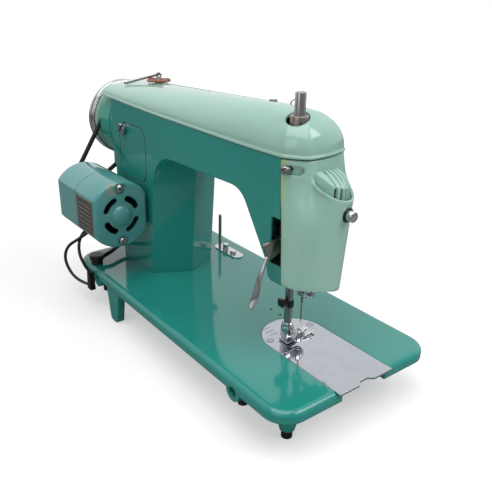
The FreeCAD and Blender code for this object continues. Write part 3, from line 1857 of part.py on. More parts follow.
def make_motor():
    outline = flat_sided("motor_radius", "motor_half_width", "motor_y", "motor_z")
    inner = flat_sided("motor_radius - motor_wall", "motor_half_width - motor_wall", "motor_y", "motor_z")
    front = prism("MotorFrontBlock", "YZ", outline, "motor_front_x", "motor_seam_x")
    front_x = value("motor_front_x")
    soften(front, "motor_edge", lambda bounds: bounds.XMax < front_x + touch)
    rear = prism("MotorRearBlock", "YZ", outline, "motor_seam_x", "motor_back_x")
    back_x = value("motor_back_x")
    soften(rear, "motor_edge", lambda bounds: bounds.XMin > back_x - touch)
    ring = trim(
        "SlotRing",
        rod("SlotOut", "motor_slot_out", ("motor_front_x - wall", "motor_y", "motor_z"), "3 * wall", "x"),
        rod("SlotIn", "motor_slot_in", ("motor_front_x - wall", "motor_y", "motor_z"), "3 * wall", "x"),
        box(
            "SlotBridgeUp",
            ("motor_front_x - wall", "motor_y - motor_slot_bridge", "motor_z - 2 * motor_slot_out"),
            ("motor_front_x + 2 * wall", "motor_y + motor_slot_bridge", "motor_z + 2 * motor_slot_out"),
        ),
        box(
            "SlotBridgeSide",
            ("motor_front_x - wall", "motor_y - 2 * motor_slot_out", "motor_z - motor_slot_bridge"),
            ("motor_front_x + 2 * wall", "motor_y + 2 * motor_slot_out", "motor_z + motor_slot_bridge"),
        ),
    )
    dome = turned(
        "MotorDome",
        [
            ("-motor_dome", "0"),
            ("-motor_dome", "motor_dome_radius / 2"),
            ("0", "motor_dome_radius", "2 * motor_dome_radius"),
            ("3 * motor_wall", "motor_dome_radius"),
            ("3 * motor_wall", "0"),
        ],
        "x",
        "motor_front_x",
        "motor_y",
        "motor_z",
    )
    hollow_front = prism("MotorFrontHollow", "YZ", inner, "motor_front_x + motor_wall", "motor_seam_x")
    hollow_rear = prism("MotorRearHollow", "YZ", inner, "motor_seam_x", "motor_back_x - motor_wall")
    axle_bore = rod(
        "MotorAxleBore",
        "motor_shaft_radius + running_fit",
        ("motor_front_x + motor_wall", "motor_y", "motor_z"),
        "motor_back_x",
        "x",
    )
    rear_boss = rod(
        "MotorRearBoss",
        "motor_dome_radius",
        ("motor_back_x - 3 * motor_wall", "motor_y", "motor_z"),
        "3 * motor_wall",
        "x",
    )
    screw_holes = [
        rod(
            f"MotorScrewHole{i}",
            "motor_screw_radius / 2",
            ("motor_front_x - wall", "motor_y", f"motor_z + {sign} * motor_screw_rise"),
            "2 * wall",
            "x",
        )
        for i, sign in enumerate(("1", "-1"))
    ]
    bell = join("MotorFrontShell", trim("MotorFrontOpen", front, hollow_front), dome)
    node("motor_front_bell", trim("MotorFrontBell", bell, axle_bore, ring, *screw_holes))
    shell = join("MotorRearShell", trim("MotorRearOpen", rear, hollow_rear), rear_boss)
    rear_bore = rod(
        "MotorRearBore",
        "motor_shaft_radius + running_fit",
        ("motor_seam_x", "motor_y", "motor_z"),
        "motor_back_x",
        "x",
    )
    node("motor_rear_housing", trim("MotorRearHousing", shell, rear_bore))

    screws = []
    for i, sign in enumerate(("1", "-1")):
        z = f"motor_z + {sign} * motor_screw_rise"
        head = cone(
            f"MotorScrewHead{i}",
            "motor_screw_crown",
            "motor_screw_radius",
            ("motor_front_x - motor_wall", "motor_y", z),
            "motor_wall",
            "x",
        )
        shank = rod(
            f"MotorScrewShank{i}",
            "motor_screw_radius / 2",
            ("motor_front_x", "motor_y", z),
            "wall",
            "x",
        )
        screws.append(join(f"MotorScrew{i}", head, shank))
    node("motor_screws", group("MotorScrews", *screws))

    bracket = box(
        "MotorBracket",
        ("bracket_start_x", "pillar_rear_y", "bracket_low_z"),
        ("bracket_end_x", "motor_y - motor_half_width", "bracket_high_z"),
    )
    node("motor_bracket", bracket)

    axle = rod(
        "MotorAxle",
        "motor_shaft_radius",
        ("motor_front_x + motor_wall + clearance", "motor_y", "motor_z"),
        "belt_x + pulley_half - motor_front_x - motor_wall - clearance",
        "x",
    )
    core = rod(
        "ArmatureCore",
        "armature_radius",
        ("armature_start_x", "motor_y", "motor_z"),
        "armature_end_x - armature_start_x",
        "x",
    )
    node("motor_armature", join("MotorArmature", axle, core))
    groove = "belt_on_pulley - belt_radius - clearance"
    bore = "motor_shaft_radius + running_fit"
    pulley = turned(
        "MotorPulley",
        [
            ("-pulley_half", bore),
            ("pulley_half", bore),
            ("pulley_half", "pulley_radius"),
            ("pulley_half - clearance", "pulley_radius"),
            ("belt_radius", groove),
            ("-belt_radius", groove),
            ("clearance - pulley_half", "pulley_radius"),
            ("-pulley_half", "pulley_radius"),
        ],
        "x",
        "belt_x",
        "motor_y",
        "motor_z",
    )
    node("motor_pulley", pulley)


def make_belt():
    # a round belt: two straight runs and the wraps round the wheel and the pulley
    wheel = FreeCAD.Vector(value("belt_x"), value("shaft_y"), value("shaft_z"))
    pulley = FreeCAD.Vector(value("belt_x"), value("motor_y"), value("motor_z"))
    big, small = value("belt_on_wheel"), value("belt_on_pulley")
    reach = pulley - wheel
    heading = math.atan2(reach.z, reach.y)
    spread = math.acos((big - small) / reach.Length)

    def rim(centre, radius, angle):
        return centre + FreeCAD.Vector(0, math.cos(angle), math.sin(angle)) * radius

    high, low = heading + spread, heading - spread
    points = [
        rim(wheel, big, high),
        rim(pulley, small, high),
        rim(pulley, small, low),
        rim(wheel, big, low),
    ]
    edges = [
        Part.LineSegment(points[0], points[1]).toShape(),
        Part.Arc(points[1], rim(pulley, small, heading), points[2]).toShape(),
        Part.LineSegment(points[2], points[3]).toShape(),
        Part.Arc(points[3], rim(wheel, big, heading + math.pi), points[0]).toShape(),
    ]
    path = Part.Wire(edges)
    ring = Part.Circle(points[0], points[1] - points[0], value("belt_radius"))
    section = Part.Wire(ring.toShape())
    belt = document.addObject("Part::Feature", "DriveBelt")
    belt.Shape = path.makePipeShell([section], True, False)
    node("drive_belt", belt)


def make_feed_panel():
    plate = prism(
        "FeedPanelBlank",
        "XY",
        slot_outline("panel_half", "panel_radius", "panel_x", "panel_y"),
        0,
        "panel_thick",
    )
    holes = [
        rod(f"{name}PanelHole", radius, (x, "panel_y", "-deck"), "3 * deck")
        for name, x, radius in (
            ("Raise", "raise_x", "button_radius + clearance"),
            ("Lower", "lower_x", "button_radius + clearance"),
            ("Pin", "bed_pin_x", "bed_pin_radius"),
        )
    ]
    node("drop_feed_plate", trim("DropFeedPlate", plate, *holes))
    for label, name, x, top in (
        ("raise_button", "RaiseButton", "raise_x", "button_high"),
        ("drop_button", "DropButton", "lower_x", "button_low"),
    ):
        button = turned(
            name,
            [
                ("-button_depth", "0"),
                ("-button_depth", "button_radius"),
                (f"{top} - clearance", "button_radius"),
                (top, "button_radius - clearance"),
                (top, "0"),
            ],
            "z",
            x,
            "panel_y",
        )
        node(label, button)
    pin = turned(
        "BedSpoolPin",
        [
            ("-deck", "0"),
            ("-deck", "bed_pin_radius"),
            ("bed_pin_top - bed_pin_radius", "bed_pin_radius"),
            ("bed_pin_top", "bed_pin_radius / 2"),
            ("bed_pin_top", "0"),
        ],
        "z",
        "bed_pin_x",
        "panel_y",
    )
    node("bed_spool_pin", pin)


def make_spool_pin():
    felt = sleeve("SpoolFelt", "spool_stem", "felt_radius", ("felt_x", "felt_y", "felt_z"), "felt_thick")
    node("spool_felt", felt)
    seat = trim(
        "SpoolSeat",
        rod(
            "SpoolSeatBlank",
            "2 * spool_ear",
            ("felt_x", "felt_y", "felt_z - 2 * spool_ear"),
            "2 * spool_ear",
        ),
        document.getObject("TopCoverBlockNose"),
    )
    stem = rod(
        "SpoolStem",
        "spool_stem",
        ("felt_x", "felt_y", "felt_z"),
        "felt_thick + spool_pin_radius / 4",
    )
    swing = FreeCAD.Rotation(FreeCAD.Vector(0, 0, 1), value("spool_swing"))
    ears = join(
        "SpoolEars",
        *[
            box(
                f"SpoolEar{i}",
                ("-spool_ear", low, "felt_thick"),
                ("spool_ear", high, "spool_pin_z - felt_z + spool_pin_radius"),
            )
            for i, (low, high) in enumerate(
                (
                    ("-spool_ear", "-spool_pin_radius - clearance"),
                    ("spool_pin_radius + clearance", "spool_ear"),
                )
            )
        ],
    )
    pivot = rod(
        "SpoolHingeBore",
        "spool_hinge_radius + running_fit",
        (0, "-2 * spool_ear", "spool_pin_z - felt_z"),
        "4 * spool_ear",
        "y",
    )
    forked = trim("SpoolFork", ears, pivot)
    forked.Placement = FreeCAD.Placement(FreeCAD.Vector(), swing)
    put(forked, "felt_x", "felt_y", "felt_z")
    node("spool_bracket", join("SpoolBracket", seat, stem, forked))

    peg = turned(
        "SpoolPeg",
        [
            ("-spool_pin_radius", "0"),
            ("-spool_pin_radius", "spool_pin_radius"),
            ("spool_pin_length - spool_pin_radius", "spool_pin_radius"),
            ("spool_pin_length", "spool_pin_radius / 2"),
            ("spool_pin_length", "0"),
        ],
        "x",
    )
    axle = rod("SpoolAxle", "spool_hinge_radius", (0, "-spool_ear", 0), "2 * spool_ear", "y")
    pin = join("SpoolPin", peg, axle)
    pin.Placement = FreeCAD.Placement(
        FreeCAD.Vector(),
        swing * FreeCAD.Rotation(FreeCAD.Vector(0, 1, 0), value("spool_droop")),
    )
    put(pin, "felt_x", "felt_y", "spool_pin_z")
    node("spool_pin", pin)


def make_shuttle():
    shaft = rod(
        "LowerShaftRod",
        "lower_radius",
        ("hook_far_x", "needle_y", "lower_z"),
        "lower_start_x - hook_far_x",
        "x",
    )
    disc = rod(
        "HookDisc",
        "hook_radius",
        ("hook_near_x", "needle_y", "lower_z"),
        "hook_far_x - hook_near_x",
        "x",
    )
    post = rod(
        "HookPost",
        "post_radius",
        ("case_near_x", "needle_y", "lower_z"),
        "hook_near_x - case_near_x",
        "x",
    )
    notch = box(
        "HookNotch",
        ("hook_near_x", "needle_y", "lower_z + hook_notch_z"),
        ("hook_far_x", "needle_y + hook_radius", "lower_z + 2 * hook_radius"),
    )
    node("shuttle_hook", join("ShuttleHook", trim("HookBlank", disc, notch), post, shaft))

    ring = sleeve(
        "RaceRing",
        "hook_radius + clearance",
        "race_radius",
        ("race_near_x", "needle_y", "lower_z"),
        "race_far_x - race_near_x",
        "x",
    )
    opening = box(
        "RaceOpening",
        ("race_near_x", "needle_y - 2 * wall", "lower_z"),
        ("race_far_x", "needle_y + 2 * wall", "lower_z + 2 * race_radius"),
    )
    ears = [
        box(
            f"RaceEar{i}",
            ("race_near_x", low, "-deck - 2 * wall"),
            ("race_far_x", high, "-deck"),
        )
        for i, (low, high) in enumerate(
            (
                ("-plate_half + ledge - wall", "needle_y - race_ear_y"),
                ("needle_y + race_ear_y", "plate_half - ledge + wall"),
            )
        )
    ]
    node("shuttle_race", join("ShuttleRace", trim("RaceOpen", ring, opening), *ears))

    case = sleeve(
        "CaseCup",
        "bobbin_radius + 2 * clearance",
        "case_radius",
        ("case_near_x", "needle_y", "lower_z"),
        "hook_near_x - clearance - case_near_x",
        "x",
    )
    face = sleeve(
        "CaseFace",
        "post_radius + clearance",
        "case_radius",
        ("case_near_x - cover_wall / 2", "needle_y", "lower_z"),
        "cover_wall / 2",
        "x",
    )
    finger = box(
        "CaseFinger",
        ("race_near_x - cover_wall", "needle_y - 2 * wall + clearance", "lower_z + case_finger_z"),
        ("race_near_x", "needle_y + 2 * wall - clearance", "lower_z + race_radius"),
    )
    node("bobbin_case", join("BobbinCase", case, face, finger))

    low, high = "case_near_x + clearance", "hook_near_x - 2 * clearance"
    bobbin = turned(
        "Bobbin",
        [
            (low, "post_radius + running_fit"),
            (high, "post_radius + running_fit"),
            (high, "bobbin_radius"),
            (f"{high} - bobbin_flange", "bobbin_radius"),
            (f"{high} - bobbin_flange", "bobbin_core"),
            (f"{low} + bobbin_flange", "bobbin_core"),
            (f"{low} + bobbin_flange", "bobbin_radius"),
            (low, "bobbin_radius"),
        ],
        "x",
        0,
        "needle_y",
        "lower_z",
    )
    node("bobbin", bobbin)

    rows = [
        box(
            f"FeedRow{i}",
            (f"needle_x + {sign} * feed_half_pitch - feed_row_half", "feed_front_y", "-feed_depth"),
            (f"needle_x + {sign} * feed_half_pitch + feed_row_half", "feed_rear_y", "-feed_drop"),
        )
        for i, sign in enumerate(("1", "-1"))
    ]
    bridge = box(
        "FeedBridge",
        ("needle_x - feed_half_pitch - feed_row_half", "feed_rear_y - wall", "-feed_depth - wall"),
        ("needle_x + feed_half_pitch + feed_row_half", "feed_rear_y", "-plate_thick - 2 * cover_wall"),
    )
    bar = box(
        "FeedBar",
        ("needle_x + feed_half_pitch", "feed_rear_y - wall / 4", "-feed_depth - wall"),
        ("feed_bar_end_x", "feed_rear_y + wall", "-feed_depth"),
    )
    node("feed_dog", join("FeedDog", bar, bridge, *rows))


def make_tension():
    stud = rod(
        "TensionStud",
        "tension_stud_radius",
        ("tension_x", "head_front_y - 6 * wall", "tension_z"),
        "7 * wall",
        "y",
    )
    discs = []
    for i, (start, narrow, wide) in enumerate((("-2.4", "0.5", "1"), ("-1.8", "1", "0.5"))):
        disc = cone(
            f"TensionDisc{i}",
            f"{narrow} * tension_disc_radius",
            f"{wide} * tension_disc_radius",
            ("tension_x", f"head_front_y + ({start}) * wall", "tension_z"),
            "wall / 2",
            "y",
        )
        bore = rod(
            f"TensionDiscBore{i}",
            "tension_stud_radius",
            ("tension_x", f"head_front_y + ({start}) * wall", "tension_z"),
            "wall",
            "y",
        )
        discs.append(trim(f"TensionDiscCut{i}", disc, bore))
    node("tension_discs", group("TensionDiscs", *discs))
    node("tension_stud", stud)
    knob = trim(
        "TensionKnob",
        rod(
            "TensionKnobBlank",
            "tension_knob_radius",
            ("tension_x", "head_front_y - 5.6 * wall", "tension_z"),
            "2.6 * wall",
            "y",
        ),
        rod(
            "TensionKnobBore",
            "tension_stud_radius + running_fit",
            ("tension_x", "head_front_y - 6 * wall", "tension_z"),
            "4 * wall",
            "y",
        ),
    )
    node("tension_knob", knob)


def make_stitch_lever():
    hub = rod(
        "StitchHub",
        "2 * stitch_rod_radius",
        ("stitch_x - wall", "stitch_pivot_y", "stitch_z"),
        "2 * wall",
        "x",
    )
    lever = rod(
        "StitchRod",
        "stitch_rod_radius",
        ("stitch_x", "stitch_pivot_y - stitch_reach", "stitch_z"),
        "stitch_reach",
        "y",
    )
    knob = rod(
        "StitchKnob",
        "stitch_knob_radius",
        ("stitch_x", "stitch_pivot_y - stitch_reach - 2 * wall", "stitch_z"),
        "2.4 * wall",
        "y",
    )
    bore = rod(
        "StitchBore",
        "stitch_rod_radius + running_fit",
        ("stitch_x - wall", "stitch_pivot_y", "stitch_z"),
        "2 * wall",
        "x",
    )
    node("stitch_lever", trim("StitchLever", join("StitchBlank", hub, lever, knob), bore))


def cord(label, name, radius, points):
    # straight runs joined by tangent arcs
    route = [FreeCAD.Vector(*point) for point in points]
    edges = []
    start = route[0]
    for before, corner, after in zip(route, route[1:], route[2:]):
        inward = (corner - before).normalize()
        onward = (after - corner).normalize()
        half_turn = inward.getAngle(onward) / 2
        shorter = min((corner - before).Length, (after - corner).Length)
        cut = bend_share * shorter
        bend = cut / math.tan(half_turn)
        print(f"{label}: bend radius {bend:.1f}")
        first, last = corner - inward * cut, corner + onward * cut
        bisector = (onward - inward).normalize()
        middle = corner + bisector * (bend / math.cos(half_turn) - bend)
        edges.append(Part.LineSegment(start, first).toShape())
        edges.append(Part.Arc(first, middle, last).toShape())
        start = last
    edges.append(Part.LineSegment(start, route[-1]).toShape())
    path = Part.Wire(edges)
    section = Part.Wire(Part.Circle(route[0], route[1] - route[0], radius).toShape())
    tube = document.addObject("Part::Feature", name)
    tube.Shape = path.makePipeShell([section], True, False)
    expected = math.pi * radius ** 2 * path.Length
    found = tube.Shape.Volume
    print(f"{label}: length {path.Length:.1f}, volume {found:.1f}, section by length {expected:.1f}")
    return tube


def make_wiring():
    block = turned(
        "TerminalBlock",
        [
            ("0", "0"),
            ("0", "block_neck"),
            ("block_height / 2", "block_neck"),
            ("block_height / 2", "block_radius"),
            ("block_height - clearance", "block_radius"),
            ("block_height", "block_neck"),
            ("block_height", "0"),
        ],
        "z",
        "block_x",
        "block_y",
    )
    node("terminal_block", block)
    plug = prism(
        "LeadPlug",
        "XZ",
        [
            ("plug_x - plug_half_x", "plug_low_z"),
            ("plug_x + plug_half_x", "plug_low_z"),
            ("plug_x + plug_neck_x", "plug_high_z"),
            ("plug_x - plug_neck_x", "plug_high_z"),
        ],
        "bed_width / 2",
        "bed_width / 2 + plug_thick",
    )
    node("lead_plug", plug)

    plug_y = value("bed_width / 2 + plug_thick / 2")
    motor_low = value("motor_z - motor_radius")
    sunk = value("lead_radius")
    outer = [
        (149, 83, motor_low + sunk),
        (158, 95, 30),
        (180, 101, 15),
        (191, 102, -5),
        (180, 99, -22),
        (160, 94, -26),
        (value("plug_x + plug_half_x / 2"), plug_y, -22),
    ]
    inner = [
        (161, 79, motor_low + sunk),
        (165, 89, 33),
        (158, 97, 20),
        (148, 98, 6),
        (value("plug_x"), plug_y, value("plug_high_z") - sunk),
    ]
    block_rear = value("block_y - block_radius")
    pillar_x = value("pillar_wheel_base_x")
    block_route = [
        (147, block_rear + sunk, 7),
        (149, 62, 9),
        (156, 52, 10),
        (162, 40, 11),
        (163, 28, 11),
        (pillar_x - sunk, 20, 11),
    ]
    lead_radius = value("lead_radius")
    leads = []
    for i, route in enumerate((outer, inner)):
        leads.append(cord("motor lead", f"MotorLead{i}", lead_radius, route))
    node("motor_leads", group("MotorLeads", *leads))
    node("block_lead", cord("block lead", "BlockLead", value("block_lead_radius"), block_route))


make_bed()
make_plates()
make_arm()
make_top_cover()
make_face_cover()
make_rear_cover()
make_main_shaft()
make_needle_bar()
make_take_up()
make_presser()
make_motor()
make_belt()
make_feed_panel()
make_spool_pin()
make_shuttle()
make_tension()
make_stitch_lever()
make_wiring()
document.recompute()

for item in document.Objects:
    if "Invalid" in item.State or "Error" in item.State:
        raise RuntimeError(f"{item.Label} did not build: {item.State}")
os.makedirs("parts", exist_ok=True)
for item in nodes:
    shape = item.Shape
    if shape.isNull() or not shape.isValid():
        raise RuntimeError(f"{item.Label} has no valid shape")
    print(f"{item.Label}: {len(shape.Solids)} solids, {shape.Volume / 1000:.2f} cm3")
    shape.exportStep(f"parts/{item.Label}.step")
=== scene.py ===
import bpy
import bmesh
from math import asin, atan2, cos, pi, radians, sin, sqrt, tau
from mathutils import Matrix, Vector


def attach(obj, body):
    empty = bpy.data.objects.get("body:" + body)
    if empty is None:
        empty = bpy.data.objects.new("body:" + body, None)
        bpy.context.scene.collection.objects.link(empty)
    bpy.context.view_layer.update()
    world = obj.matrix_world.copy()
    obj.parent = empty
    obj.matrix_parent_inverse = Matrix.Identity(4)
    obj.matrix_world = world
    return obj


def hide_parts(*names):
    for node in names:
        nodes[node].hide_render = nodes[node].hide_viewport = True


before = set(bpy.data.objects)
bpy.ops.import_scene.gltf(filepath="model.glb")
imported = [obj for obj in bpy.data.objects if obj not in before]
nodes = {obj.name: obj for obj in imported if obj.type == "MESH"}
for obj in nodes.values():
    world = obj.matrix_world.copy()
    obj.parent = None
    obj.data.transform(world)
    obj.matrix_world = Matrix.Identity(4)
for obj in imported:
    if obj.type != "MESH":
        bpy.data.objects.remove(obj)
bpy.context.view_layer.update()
print("frame loaded:", len(nodes), "nodes")

scene = bpy.context.scene

# the machine is drawn in millimetres from the middle of the bed's top face
toFrame = Matrix.Scale(0.001, 4) @ Matrix.Translation((-24, -7.6, 48))
alongX, alongY, alongZ = (1, 0, 0), (0, 1, 0), (0, 0, 1)
origin = (0, 0, 0)


def place(x, y, z):
    return toFrame @ Vector((x, y, z))


def added(name, data):
    item = bpy.data.objects.new(name, data)
    scene.collection.objects.link(item)
    return item


def meshOf(name, bm):
    # the mesh of a shape, which is used up
    data = bpy.data.meshes.new(name)
    bm.to_mesh(data)
    bm.free()
    return data


# camera
cameraView = {
    "eye": (-0.4716, 0.3260, 0.3401),
    "target": (-0.051404, -0.004827, 0.108),
    "roll": radians(1.463),
    "lens": 43.515,
    "sensor": 36,
}


def makeCamera():
    eye = Vector(cameraView["eye"])
    back = (eye - Vector(cameraView["target"])).normalized()
    right = Vector(alongZ).cross(back).normalized()
    axes = Matrix((right, back.cross(right), back)).transposed().to_4x4()
    data = bpy.data.cameras.new("photoCamera")
    data.lens = cameraView["lens"]
    data.sensor_width = cameraView["sensor"]
    camera = added("photoCamera", data)
    camera.matrix_world = Matrix.Translation(eye) @ axes @ Matrix.Rotation(cameraView["roll"], 4, "Z")
    scene.camera = camera


makeCamera()
print("camera placed")


# finishes: a wire is a socket that takes part in sums, a finish is the nodes of a material or a world
class Wire:
    def __init__(self, finish, socket):
        self.finish = finish
        self.socket = socket

    def __add__(self, other):
        return self.finish.math("ADD", self, other)

    def __sub__(self, other):
        return self.finish.math("SUBTRACT", self, other)

    def __rsub__(self, other):
        return self.finish.math("SUBTRACT", other, self)

    def __mul__(self, other):
        return self.finish.math("MULTIPLY", self, other)

    __radd__ = __add__
    __rmul__ = __mul__


class Finish:
    def __init__(self, name, kind="materials"):
        self.block = getattr(bpy.data, kind).new(name)
        self.block.use_nodes = True
        self.tree = self.block.node_tree
        self.tree.nodes.clear()

    def node(self, kind, settings=None, sockets=None, output=0):
        made = self.tree.nodes.new("ShaderNode" + kind)
        for key, setting in (settings or {}).items():
            setattr(made, key, setting)
        for key, given in (sockets or {}).items():
            if isinstance(given, Wire):
                self.tree.links.new(given.socket, made.inputs[key])
            else:
                made.inputs[key].default_value = given
        return Wire(self, made.outputs[output]) if made.outputs else None

    def math(self, operation, first, second=0):
        return self.node("Math", {"operation": operation}, {0: first, 1: second})

    def vector(self, operation, first, second=origin):
        return self.node("VectorMath", {"operation": operation}, {0: first, 1: second}, "Value")

    def position(self, scale=None, turn=origin):
        where = self.node("TexCoord", output="Object")
        if not scale:
            return where
        return self.node("Mapping", {}, {"Vector": where, "Scale": scale, "Rotation": turn})

    def along(self, axis):
        return self.node("SeparateXYZ", {}, {0: self.position()}, axis)

    def noise(self, scale, detail=3, rough=0.5, where=None):
        sockets = {"Vector": where or self.position(), "Scale": scale, "Detail": detail, "Roughness": rough}
        return self.node("TexNoise", {}, sockets)

    def ramp(self, wire, low, high, atLow=0, atHigh=1):
        sockets = {"Value": wire, "From Min": low, "From Max": high, "To Min": atLow, "To Max": atHigh}
        return self.node("MapRange", {"interpolation_type": "SMOOTHSTEP"}, sockets)

    def blend(self, share, *colours):
        # each colour is a wire, or three numbers as it shows on a screen
        first, second = (c if isinstance(c, Wire) else paint(*c) for c in colours)
        return self.node("Mix", {"data_type": "RGBA"}, {"Factor": share, 6: first, 7: second}, 2)

    def band(self, wire, half):
        return self.ramp(self.math("ABSOLUTE", wire), half, 1.6 * half, 1, 0)

    def panelLine(self, panel):
        # a thin line round a panel with round corners, on the rear side only
        sides = []
        for axis, centre, half in (("X", panel["x"], panel["halfX"]), ("Z", panel["z"], panel["halfZ"])):
            sides.append(self.math("ABSOLUTE", self.along(axis) - centre) - (half - panel["corner"]))
        outer = [self.math("MAXIMUM", side, 0) for side in sides]
        reach = self.math("SQRT", outer[0] * outer[0] + outer[1] * outer[1])
        inner = self.math("MINIMUM", self.math("MAXIMUM", *sides), 0)
        line = self.band(reach + inner - panel["corner"], panel["line"])
        return line * self.ramp(self.along("Y"), panel["behind"], panel["behind"] + 0.001)

    def bump(self, height, distance, strength, edge=None):
        sockets = {"Height": height, "Distance": distance, "Strength": strength}
        if edge:
            sockets["Normal"] = self.node("Bevel", {"samples": 4}, {"Radius": edge}, "Normal")
        return self.node("Bump", {}, sockets)

    def close(self, **sockets):
        named = {key.replace("_", " "): given for key, given in sockets.items()}
        self.node("OutputMaterial", {}, {"Surface": self.node("BsdfPrincipled", {}, named)})
        return self.block


def paint(red, green, blue):
    # a colour as it shows on a screen, 0 to 255
    shares = [part / 255 for part in (red, green, blue)]
    return tuple(s / 12.92 if s <= 0.04045 else ((s + 0.055) / 1.055) ** 2.4 for s in shares) + (1,)


markColours = {
    "seam": (20, 44, 44), "panelLine": (12, 48, 46), "paintedSlotShade": (16, 26, 26), "chip": (150, 138, 122),
    "speck": (38, 44, 40), "spot": (96, 88, 78), "guide": (70, 72, 78),
}


def enamel(name, base, deep, worn, speckle=0.5, tint=None, seam=None, panel=None, paintedSlotShade=None, chips=()):
    # stoved enamel: even colour, slow drift, fine orange peel, a few dull rubs and dark specks
    f = Finish(name)
    drift = f.ramp(f.noise(7, 2), 0.3, 0.7)
    rub = f.ramp(f.noise(22, 6, 0.7), 0.58, 0.78)
    specks = f.ramp(f.noise(520, 2, 0.4), 0.735, 0.76) * f.ramp(f.noise(18, 2), 0.5, 0.62) * speckle
    colour = f.blend(rub * 0.2, f.blend(drift, base, deep), worn)
    if tint:
        near = f.ramp(f.along(tint["axis"]), tint["from"], tint["to"])
        patchy = f.ramp(f.noise(30, 3), 0.2, 0.7, 0.5, 1)
        colour = f.blend(near * patchy, colour, tint["colour"])
    if seam:
        line = f.band(f.along(seam["axis"]) - seam["at"], seam["half"])
        colour = f.blend(line * 0.85, colour, markColours["seam"])
    if panel:
        colour = f.blend(f.panelLine(panel) * 0.9, colour, markColours["panelLine"])
    # painted shade: inside the lifter slot's box the enamel is darkened almost to black
    if paintedSlotShade:
        shade, soft = 0.94, paintedSlotShade["soft"]
        for axis in "XYZ":
            low, high = paintedSlotShade[axis]
            above = f.ramp(f.along(axis), low, low + soft)
            shade = above * f.ramp(f.along(axis), high - soft, high, 1, 0) * shade
        colour = f.blend(shade, colour, markColours["paintedSlotShade"])
    for centre, reach in chips:
        away = f.vector("DISTANCE", f.position(), centre)
        patch = f.ramp(away, 0.4 * reach, reach, 1, 0) * f.ramp(f.noise(160, 5, 0.7), 0.46, 0.56)
        colour = f.blend(patch * 0.8, colour, markColours["chip"])
    scratch = f.ramp(f.noise(300, 3, 0.6, f.position((1, 6, 1), (0.3, 0.2, 0.7))), 0.62, 0.7)
    return f.close(
        Base_Color=f.blend(specks, colour, markColours["speck"]),
        Roughness=0.09 + 0.1 * rub + 0.04 * drift + 0.08 * scratch,
        Normal=f.bump(f.noise(480, 2), 0.00003, 0.3, 0.0022),
        Specular_IOR_Level=0.5,
        Coat_Weight=0.25,
        Coat_Roughness=0.03,
    )


def bright(name, base, dull, rough=0.09, marks=0.12, grain=None, guides=None):
    # plated or polished steel: fine scratches one way, faint clouding and pin marks
    f = Finish(name)
    cloud = f.ramp(f.noise(55, 4, 0.6), 0.42, 0.72)
    scratch = f.noise(900, 2, 0.5, f.position(grain))
    spots = f.ramp(f.noise(420, 3, 0.6), 0.68, 0.76)
    colour = f.blend(spots * 0.3, f.blend(cloud * 0.35, base, dull), markColours["spot"])
    if guides:
        start, stop, soft = guides["start"], guides["stop"], guides["soft"]
        ends = f.ramp(f.along("Y"), start, start + soft) * f.ramp(f.along("Y"), stop, stop + soft, 1, 0)
        for across in guides["across"]:
            line = f.band(f.along("X") - across, guides["half"]) * ends
            colour = f.blend(line * guides["strength"], colour, markColours["guide"])
    return f.close(
        Base_Color=colour,
        Metallic=1 - spots * 0.2,
        Roughness=rough + marks * cloud + 0.05 * scratch,
        Normal=f.bump(scratch, 0.00001, 0.3, 0.0006),
    )


def darkPlastic(name, base, worn, rough):
    f = Finish(name)
    dust = f.ramp(f.noise(60, 4, 0.6), 0.5, 0.75)
    return f.close(
        Base_Color=f.blend(dust * 0.5, base, worn),
        Roughness=rough + 0.2 * dust,
        Normal=f.bump(f.noise(700, 2), 0.00004, 0.3, 0.0008),
    )


def feltCloth(name, base, deep):
    f = Finish(name)
    fibres = f.noise(900, 5, 0.7)
    tufts = f.ramp(f.noise(220, 3), 0.35, 0.7)
    return f.close(
        Base_Color=f.blend(tufts, deep, base),
        Roughness=0.92 - 0.1 * fibres,
        Normal=f.bump(fibres, 0.0006, 0.6),
        Sheen_Weight=0.3,
    )


def clearGlass(name):
    f = Finish(name)
    haze = f.noise(80, 3)
    return f.close(
        Base_Color=f.blend(haze * 0.2, (250, 250, 246), (225, 222, 210)),
        Roughness=0.02 + 0.06 * haze,
        Transmission_Weight=0.92,
        IOR=1.45,
    )


